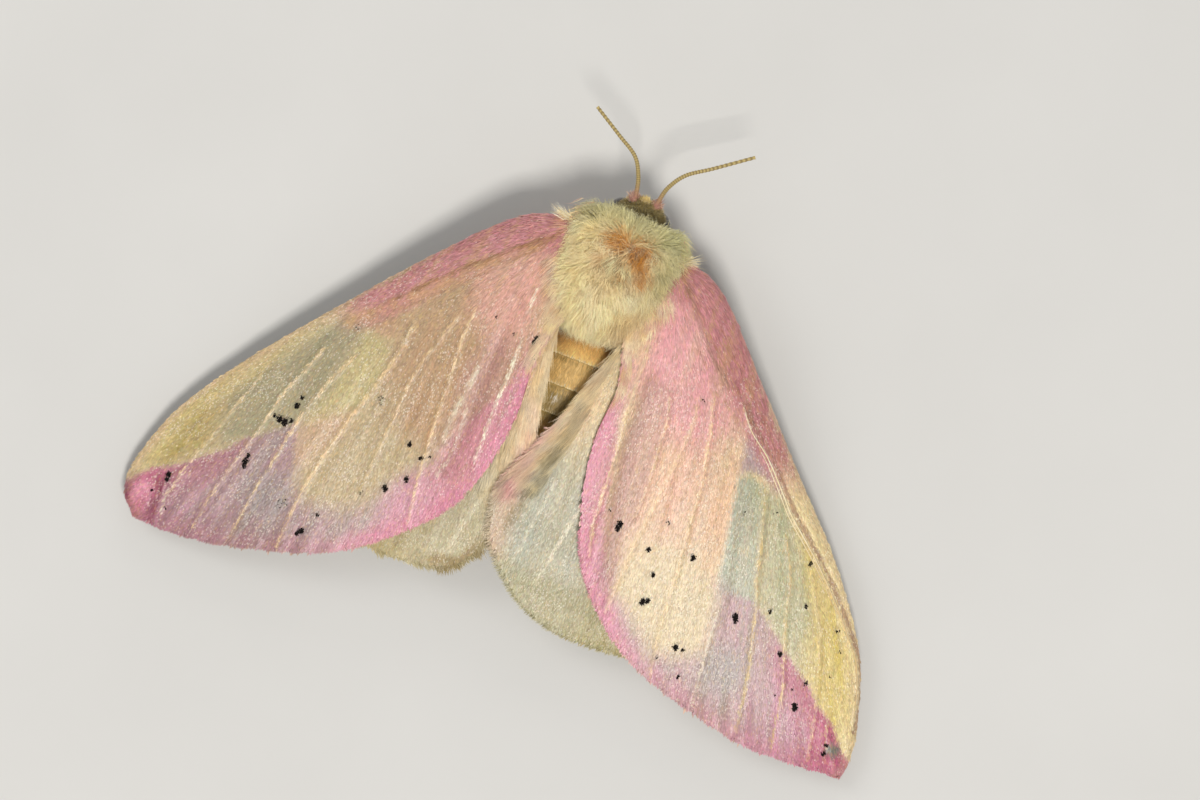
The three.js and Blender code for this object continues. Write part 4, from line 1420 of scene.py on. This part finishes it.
def thorax_colours(places):
    """Cream wool with two orange patches, greener at the front and on the right."""
    x, y, z = places.T
    cloud = mottle(places, 0.7, 51)
    small = mottle(places, 0.28, 52)
    fleck = mottle(places, 0.1, 55)
    colours = lay_all(
        plain("wool_cream", len(places)),
        ("wool_pale", 0.6 * cloud),
        ("wool_green", soft_step(0.5, -0.9, y) * (0.6 + 0.35 * cloud)),
        ("wool_green", (0.35 + 0.4 * small) * soft_step(-0.9, -2.1, x) * soft_step(3.2, 1.2, y)),
        ("wool_tan", 0.8 * spot(x, y, (-0.2, 1.3), (1.3, 1.4)) * soft_step(0.25, 0.6, small)),
        ("wool_green", 0.6 * spot(x, y, (-0.1, 1.5), (1.2, 1.2)) * soft_step(0.6, 0.3, small)))
    for middle, reach, strength in ORANGE_PATCHES:
        cover = spot(x + 0.5 * (small - 0.5), y + 0.4 * (cloud - 0.5), middle, reach)
        cover = cover * (0.7 + 0.3 * soft_step(0.25, 0.5, fleck))
        colours = lay_on(colours, "wool_orange", strength * cover * soft_step(3.5, 4.5, z))
    return lay_all(
        colours,
        ("wool_pale", 0.3 * spot(x, y, (-1.0, 2.5), (0.7, 0.6))),
        ("wool_tan", 0.4 * spot(x, y, (-1.6, 3.6), (1.0, 1.2))),
        ("belly_cream", 0.6 * soft_step(3.2, 2.2, z)))


def head_colours(places):
    """Yellow wool, olive on the crown and darkened there in part as painted shade, and pinkish below."""
    y, z = places[:, 1], places[:, 2]
    crown = soft_step(3.3, 3.7, z) * soft_step(-2.2, -2.0, y)
    return lay_all(
        plain("face_yellow", len(places)),
        ("wool_cream", 0.5 * mottle(places, 0.4, 53)),
        # Partly painted shade: the crown is darkened with olive
        ("crown_olive_shade", crown * (0.7 + 0.3 * mottle(places, 0.2, 57))),
        ("leg_pink", 0.5 * soft_step(2.4, 1.9, z)))


def abdomen_colours(places):
    """Tan plates with pale rear edges, and painted shadow just behind each edge, where the next plate
    starts.
    """
    x, y, z = places.T
    part = segment_step(y)[0]
    above = soft_step(1.8, 3.2, z + 0.12 * y)
    # Painted highlight on the shiny third plate
    shine = 0.8 * spot(x, y, (0.5, 7.3), (0.22, 0.3))
    shine = shine * soft_step(0.35, 0.6, mottle(places, 0.1, 59))
    colours = lay_all(
        plain("belly_cream", len(places)),
        ("abdomen_tan", 0.95 * above),
        ("wool_orange", 0.3 * above * mottle(places, 0.4, 54) * soft_step(5.3, 4.8, y)),
        # Painted shadow where each plate starts, under the edge of the plate before
        ("abdomen_dark", 0.7 * above * soft_step(0.1, 0.02, part)),
        ("abdomen_dark", 0.3 * above * soft_step(5.5, 5.7, y)),
        ("abdomen_dark", 0.75 * above * soft_step(6.85, 7.1, y) * soft_step(10.0, 8.6, y)),
        ("abdomen_tan", 0.8 * above * soft_step(8.0, 8.8, y)),
        ("abdomen_pale", 0.85 * soft_step(0.84, 0.93, part)),
        ("glint", shine))
    return colours * (0.9 + 0.24 * mottle(places, 0.22, 58))[:, None]


def body_colours(places):
    """The markings of the whole skin, a little darker than the coat over them as painted shade under the
    coat.
    """
    x, y, z = places.T
    colours = thorax_colours(places)
    back = soft_step(4.2, 4.7, y)[:, None]
    colours = colours * (1 - back) + abdomen_colours(places) * back
    front = soft_step(-0.9, -1.2, y)[:, None]
    colours = colours * (1 - front) + head_colours(places) * front
    limbs = np.maximum(soft_step(2.1, 2.3, off_middle(x, y)), soft_step(1.35, 1.1, z))
    limbs = limbs * soft_step(2.9, 2.6, z) * (y < 10.3)
    # Painted shade: the skin under the coat is kept a little darker
    return lay_on(colours, "leg_pink", 0.85 * limbs) * 0.9


# The grid that finds even places on a form, and the step that finds its slope
FORM_CELLS = 120
FORM_STEP = 0.004
# The coats of the body, for the legs and palps each one: hairs, range of length, range of width
HAIR = {"face": (7500, (0.3, 0.5), (0.02, 0.035)),
        "abdomen": (20000, (0.22, 0.34), (0.035, 0.055)),
        "abdomen_sides": (5200, (0.6, 1.0), (0.03, 0.045)),
        "leg": (1300, (0.14, 0.2), (0.025, 0.045)), "palp": (700, (0.16, 0.26), (0.02, 0.035))}


def scatter_on_form(place_of, count, rng, keep=None):
    """Even random places on a form, with their normals and their unwrap."""
    cells = FORM_CELLS
    edges = np.linspace(0.02, 0.98, cells + 1)
    turns = np.linspace(0, 1, cells + 1)
    e, t = np.meshgrid(edges, turns, indexing="ij")
    corner = place_of(e.ravel(), t.ravel()).reshape(cells + 1, cells + 1, 3)
    one = corner[1:, :-1] - corner[:-1, :-1]
    other = corner[:-1, 1:] - corner[:-1, :-1]
    area = np.linalg.norm(np.cross(one, other), axis=2)
    if keep is not None:
        area = area * keep(corner[:-1, :-1].reshape(-1, 3)).reshape(cells, cells)
    picks = picks_by_area(area, count, rng)
    even = edges[picks // cells] + rng.random(count) * (edges[1] - edges[0])
    turn = turns[picks % cells] + rng.random(count) / cells
    place = place_of(even, turn)
    along = place_of(even + FORM_STEP, turn) - place_of(even - FORM_STEP, turn)
    round_way = place_of(even, turn + FORM_STEP) - place_of(even, turn - FORM_STEP)
    up = unit(np.cross(round_way, along))
    away = place - np.column_stack([body_line(place[:, 1]), place[:, 1],
                                    np.full(count, corner[..., 2].mean())])
    up *= np.where(np.sum(up * away, axis=1) < 0, -1, 1)[:, None]
    unwrap = np.column_stack([0.02 + 0.96 * (turn % 1), 0.02 + 0.96 * even])
    return place, up, unwrap


# The wool spreads from here, and lies in three layers: strands, and where they start and end
SPREAD_FROM = np.array([0.0, 0.9])
THORAX_LAYERS = {"under": (45000, -1.5, 5.0), "front": (15000, -1.5, 1.1),
                 "rear": (13500, 1.1, 5.0)}


def thorax_coat(rng):
    """Soft wool that spreads from the middle of the back: a short dense layer and a long fine one."""
    for name, (count, start, end) in THORAX_LAYERS.items():

        def keep(places):
            above = 0.3 + 0.7 * soft_step(2.4, 3.6, places[:, 2])
            return above * (places[:, 1] >= start) * (places[:, 1] < end)

        place, up, unwrap = scatter_on_form(partial(body_place, THORAX), count, rng, keep)
        x, y, z = place.T
        off = off_middle(x, y)
        top = soft_step(3.0, 4.4, z)
        forward = soft_step(0.6, -0.6, y)
        away = np.column_stack([x - body_line(y), y]) - SPREAD_FROM
        away = unit(away) * np.minimum(np.linalg.norm(away, axis=1, keepdims=True) / 1.8, 1)
        beside = np.sign(away[:, 0]) * soft_step(1.2, 2.0, off)
        over_wing = soft_step(-0.4, 0.8, y) * soft_step(3.6, 4.2, z) * soft_step(5.8, 5.2, z)
        rear = soft_step(1.6, 4.0, y) * top
        lie = np.column_stack([
            (0.5 + 0.8 * forward) * away[:, 0] + 0.6 * beside * over_wing,
            0.35 * away[:, 1] + 0.7 - 1.2 * forward,
            -0.35 * (1 - top) * (1 - over_wing * np.abs(beside)),
        ])
        tangle = 1 - 0.6 * rear
        lie[:, 0] += 1.7 * tangle * (mottle(place, 0.45, 61) - 0.5)
        lie[:, 1] += 1.5 * tangle * (mottle(place, 0.45, 62) - 0.5)
        lie += rng.normal(0, 0.25, lie.shape)
        if name == "under":
            length = rng.uniform(0.5, 0.8, count) * (1 - 0.1 * forward)
            width = rng.uniform(0.035, 0.055, count)
            lift = rng.normal(0.55, 0.14, count) - 0.2 * rear
            rings = 1
        else:
            length = rng.uniform(0.8, 1.25, count) * (1 + 0.35 * rear)
            length *= 1 + 0.4 * over_wing * np.abs(beside) * rng.random(count)
            length *= 1 + forward * (0.15 + 0.3 * soft_step(0.6, 1.5, off))
            width = rng.uniform(0.022, 0.038, count)
            lift = rng.normal(0.6, 0.18, count) - 0.3 * rear
            rings = 2
        seen = place + 0.55 * length[:, None] * (unit(lie) * 0.8 + up * 0.4)
        colours = thorax_colours(seen) * rng.normal(1, 0.06, (count, 1))
        wool(f"thorax_wool_{name}", place, up, lie, length, width, lift, colours, unwrap,
             "thorax_wool", rng, curl=0.07, root_shade=0.96, rings=rings,
             lock=0.5 if rings == 2 else 0.3)


def eye_middle(side):
    return body_line(EYE["y"]) + side * EYE["apart"], EYE["y"], EYE["z"]


def head_coat(rng):
    """Short dense wool on the face and crown, kept off the eyes."""
    def keep(places):
        clear = np.ones(len(places))
        for side in SIDES.values():
            clear *= np.linalg.norm(places - eye_middle(side), axis=1) > EYE["radius"] + 0.03
        return clear * (places[:, 1] < -0.5)

    count, long, wide = HAIR["face"]
    place, up, unwrap = scatter_on_form(partial(body_place, HEAD), count, rng, keep)
    x, y, z = place.T
    crown = soft_step(3.3, 3.7, z)
    lie = np.column_stack([(0.4 + 0.7 * crown) * (x - body_line(y)), -0.35 + 0.1 * crown,
                           np.where(z > 3.3, 0.2, -1.0)])
    lie += rng.normal(0, 0.2, lie.shape) * (1 + crown)[:, None]
    length = rng.uniform(*long, count) * (1 + 0.3 * crown)
    lift = rng.normal(0.7, 0.15, count) + 0.15 * crown
    colours = head_colours(place + 0.5 * length[:, None] * up) * rng.normal(1, 0.08, (count, 1))
    wool("face_wool", place, up, lie, length, rng.uniform(*wide, count), lift, colours,
         unwrap, "face_wool", rng, curl=0.06, root_shade=0.85, lock=0.4, lock_size=0.08)


def tuft(name, root, reach, way, count, long, paints, slot, rng):
    """A brush of fine hair that springs from one small place."""
    roots = np.array(root) + rng.normal(0, 1, (count, 3)) * np.array(reach)
    way = unit(np.array(way, float)[None] + rng.normal(0, 0.22, (count, 3)))
    up = np.cross(way, np.array([1.0, 0.2, 0.1]))
    pick = rng.random(count)
    colours = np.where(pick[:, None] < 0.5, linear(paints[0]), linear(paints[1]))
    colours = colours * rng.normal(1, 0.08, (count, 1))
    unwrap = 0.05 + 0.9 * rng.random((count, 2))
    wool(name, roots, up, way, rng.uniform(*long, count), rng.uniform(0.02, 0.034, count),
         np.full(count, 0.1), colours, unwrap, slot, rng, curl=0.05, root_shade=0.85)


def small_tufts(rng):
    """Brushes at the roots of antennae and wings, at the shoulders, brow and abdomen's end."""
    for name, side in SIDES.items():
        x, y, z = ANTENNAE[name][0]
        tuft(f"antenna_{name}_tuft", (x, y - 0.12, z - 0.02), (0.1, 0.1, 0.08),
             (0.7 * side, -0.8, 0.35), 300, (0.16, 0.3), ("scape_pink", "leg_wool"), "face_wool", rng)
        tuft(f"shoulder_{name}_tuft", (side * 2.6, 0.02, 4.45), (0.1, 0.06, 0.05),
             (side * 1.0, -0.35, 0.2), 70, (0.55, 1.0), ("wool_pale", "wool_cream"),
             "thorax_wool", rng)
        tuft(f"shoulder_{name}_wool", (side * 2.25, 1.35, 4.5), (0.16, 0.75, 0.1),
             (side * 0.8, 0.65, 0.02), 1100, (0.5, 0.95), ("wool_cream", "peach"),
             "thorax_wool", rng)
        tuft(f"root_{name}_wool", (side * 2.2, 2.9, 3.75), (0.2, 0.8, 0.2),
             (side * 0.9, 0.5, -0.1), 1200, (0.8, 1.5), ("wool_cream", "wool_pale"),
             "thorax_wool", rng)
    tuft("abdomen_end_tuft", (body_line(13.2), 13.1, 1.0), (0.34, 0.16, 0.16),
         (0.0, 1.0, 0.1), 900, (0.35, 0.7), ("wool_cream", "wool_tan"), "abdomen_coat", rng)
    tuft("forehead_tuft", (body_line(-1.8) + 0.04, -1.82, 3.7), (0.09, 0.06, 0.07),
         (0.0, -0.7, 0.9), 300, (0.26, 0.42), ("face_yellow", "wool_cream"), "face_wool", rng)


def abdomen_coat(rng):
    """Short flat hair that is longer and looser at the sides, and soft wool along the sides."""
    count, long, wide = HAIR["abdomen"]
    place, up, unwrap = scatter_on_form(abdomen_place, count, rng)
    part = segment_step(place[:, 1])[0]
    lie = np.column_stack([np.zeros(count), np.ones(count), np.zeros(count)])
    lie += rng.normal(0, 0.1, lie.shape)
    to_edge = (1 - part) * PLATE_LENGTH + 0.05
    length = np.minimum(rng.uniform(*long, count), np.maximum(to_edge, 0.1))
    side_fluff = soft_step(1.2, 1.8, off_middle(place[:, 0], place[:, 1]))
    length *= 1 + 1.1 * side_fluff
    lie += 0.25 * up * side_fluff[:, None]
    colours = abdomen_colours(place) * rng.normal(1, 0.09, (count, 1))
    scales("abdomen_hair", place + 0.02 * up, up, lie, length, rng.uniform(*wide, count),
           colours, unwrap, finishes["short_hair"], "abdomen_coat", rng, tilt=0.1, scatter=0.12)

    def beside(places):
        x, y, z = places.T
        return soft_step(1.15, 1.5, off_middle(x, y)) * (z > 1.6) * (y < 10.5)

    count, long, wide = HAIR["abdomen_sides"]
    place, up, unwrap = scatter_on_form(abdomen_place, count, rng, beside)
    lie = up * np.array([0.35, 0, 0.5]) + np.array([0, 1.0, 0.25]) + rng.normal(0, 0.15, up.shape)
    colours = lay_on(plain("wool_cream", count), "wool_pale", mottle(place, 0.5, 56))
    wool("abdomen_side_wool", place, up, lie, rng.uniform(*long, count),
         rng.uniform(*wide, count), rng.normal(0.45, 0.12, count),
         colours * rng.normal(1, 0.06, (count, 1)), unwrap, "abdomen_coat", rng, curl=0.06,
         root_shade=0.92, rings=1, lock=0.3, lock_size=0.12)


def scatter_on_limb(points, radius_of, count, rng, first=0.0):
    """Random places on a limb, with their normals, the limb's way, and part and turn."""
    part = rng.uniform(first, 1, count)
    middle = curve_through(points, part)
    run = unit(curve_through(points, np.minimum(part + 0.01, 1))
               - curve_through(points, np.maximum(part - 0.01, 0)))
    turn = rng.uniform(0, 2 * np.pi, count)
    beside = unit(np.cross(run, np.array([0.31, 0.2, 0.93])))
    other = np.cross(run, beside)
    up = beside * np.cos(turn)[:, None] + other * np.sin(turn)[:, None]
    radius = np.array([radius_of(p) for p in part])
    return middle + up * (radius - 0.02)[:, None], up, run, part, turn


def limb_coat(rng):
    """Pink hair on legs and palps: shaggy on the thighs, short and flat on the feet."""
    for name, side in SIDES.items():
        for column, pair in enumerate(LEGS):
            count, long, wide = HAIR["leg"]
            points = leg_points(pair, side)
            place, up, run, part, turn = scatter_on_limb(points, leg_radius, count, rng, 0.08)
            shaggy = soft_step(ANKLE, KNEE, part)
            length = rng.uniform(*long, count) * (1 + 1.3 * shaggy)
            place[:, 2] = np.maximum(place[:, 2], 0.04)
            colours = lay_on(plain("leg_pink", count), "leg_wool",
                             0.3 + 0.6 * shaggy * mottle(place, 0.3, 91))
            colours = colours * rng.normal(1, 0.08, (count, 1))
            unwrap = np.column_stack([(column + turn / (2 * np.pi)) / 3, part])
            lie = run + rng.normal(0, 0.12, run.shape)
            wool(f"leg_{pair}_{name}_hair", place, up, lie, length,
                 rng.uniform(*wide, count), 0.12 + 0.3 * shaggy, colours,
                 0.02 + 0.96 * unwrap, "leg_coat", rng, curl=0.04, root_shade=0.85, rings=1)
        count, long, wide = HAIR["palp"]
        place, up, run, part, turn = scatter_on_limb(palp_points(side, PALP_LINE), palp_radius,
                                                     count, rng)
        colours = lay_on(plain("leg_pink", count), "face_yellow", 0.5 * mottle(place, 0.2, 92))
        wool(f"palp_{name}_hair", place, up, run, rng.uniform(*long, count),
             rng.uniform(*wide, count), np.full(count, 0.3), colours,
             0.02 + 0.96 * np.column_stack([turn / (2 * np.pi), part]), "leg_coat", rng,
             curl=0.05, root_shade=0.85, rings=1)


def claws():
    """Two small hooked claws at the end of each foot."""
    hooks = []
    for side in SIDES.values():
        for pair in LEGS:
            before, end = (np.array(p) for p in leg_points(pair, side)[-2:])
            run = unit(end - before)
            beside = np.array([-run[1], run[0], 0])
            for splay in (-1, 1):
                way = unit(run + 0.5 * splay * beside)
                start = end - 0.05 * run + 0.05 * splay * beside - (0, 0, 0.04)
                line = [start, start + 0.14 * way + (0, 0, 0.02), start + 0.25 * way - (0, 0, 0.1)]
                hooks.append(drawn_limb(line, lambda part: 0.036 - 0.03 * part, 9, 1))
    piece = joined(hooks)
    paint_vertices(piece.data, plain("claw", len(piece.data.vertices)))
    finish_piece(piece, "claws", finishes["claw"], "leg_coat")


def eyes():
    for name, side in SIDES.items():
        deselect()
        middle = eye_middle(side)
        bpy.ops.mesh.primitive_ico_sphere_add(subdivisions=5, radius=EYE["radius"], location=middle)
        piece = bpy.context.object
        bpy.ops.object.mode_set(mode="EDIT")
        bpy.ops.mesh.select_all(action="SELECT")
        bpy.ops.transform.resize(value=(0.92, 0.98, 1.04), center_override=middle)
        bpy.ops.object.mode_set(mode="OBJECT")
        finish_piece(piece, f"eye_{name}_lenses", eye_finish_made, "eye", f"eye_{name}")


RINGS_ON_ANTENNA = 44


def antenna_radius(part):
    """A swollen pink base, then fine rings that shrink to a blunt tip."""
    if part < 0.08:
        return 0.16
    ring = 0.5 + 0.5 * math.cos(2 * math.pi * part * RINGS_ON_ANTENNA)
    return (0.115 - 0.035 * part) * (0.82 + 0.18 * ring)


def antennae():
    stations = 6 * RINGS_ON_ANTENNA
    for name in SIDES:
        piece = drawn_limb(ANTENNAE[name], antenna_radius, stations)
        count = len(piece.data.vertices)
        along = np.minimum(np.arange(count) // (count // stations), stations - 1) / (stations - 1)
        ring = 0.5 + 0.5 * np.cos(2 * np.pi * along * RINGS_ON_ANTENNA)
        paint_vertices(piece.data, lay_all(plain("antenna_tan", count),
                                           ("antenna_dark", 0.75 * (1 - ring)),
                                           ("scape_pink", soft_step(0.4, 0.08, along) * 0.85)))
        finish_piece(piece, f"antenna_{name}_rings", finishes["antenna"], "antenna",
                     f"antenna_{name}")


SHOULDER_PAINTS = (("wool_cream", 0.7), ("wool_pale", 0.5), ("wool_orange", 0.15))
INNER_PAINTS = (("wool_cream", 0.4), ("wool_pale", 0.35))
# Where the random draws of each coat start. The wings count on from theirs.
SEEDS = {"scales": 100, "fringe": 200, "thorax": 300, "head": 310, "abdomen": 320, "tufts": 330,
         "limbs": 340, "wing_hair": 400}


def draws(coat, wing=0):
    return np.random.default_rng(SEEDS[coat] + wing)


set_camera()
set_studio()
eye_finish_made = eye_finish()

for i, wing_name in enumerate(WINGS):
    wing_skin(wing_name)
    scale_wing(wing_name, draws("scales", i))
    fringe_wing(wing_name, draws("fringe", i))
    hair_rng = draws("wing_hair", i)
    if wing_name.startswith("forewing"):
        speck_wing(wing_name, hair_rng)
        wing_hair(wing_name, "shoulder_hair", 1000, (0.0, 0.35), (0.067, 1.0), (0.5, 0.8), 0.22,
                  SHOULDER_PAINTS, hair_rng, fan=1.0)
        wing_hair(wing_name, "inner_hair", 500, (0.0, 0.88), (0.15, 1.0), (0.5, 0.9), 0.15,
                  SHOULDER_PAINTS, hair_rng)
    else:
        wing_hair(wing_name, "inner_hair", 3000, (0.0, 0.78), (0.5, 1.0), (0.7, 1.2), 0.13,
                  INNER_PAINTS, hair_rng, inward=0.35)
fold_ridges("forewing_right")
body_skin()
thorax_coat(draws("thorax"))
head_coat(draws("head"))
abdomen_coat(draws("abdomen"))
small_tufts(draws("tufts"))
limb_coat(draws("limbs"))
claws()
eyes()
antennae()
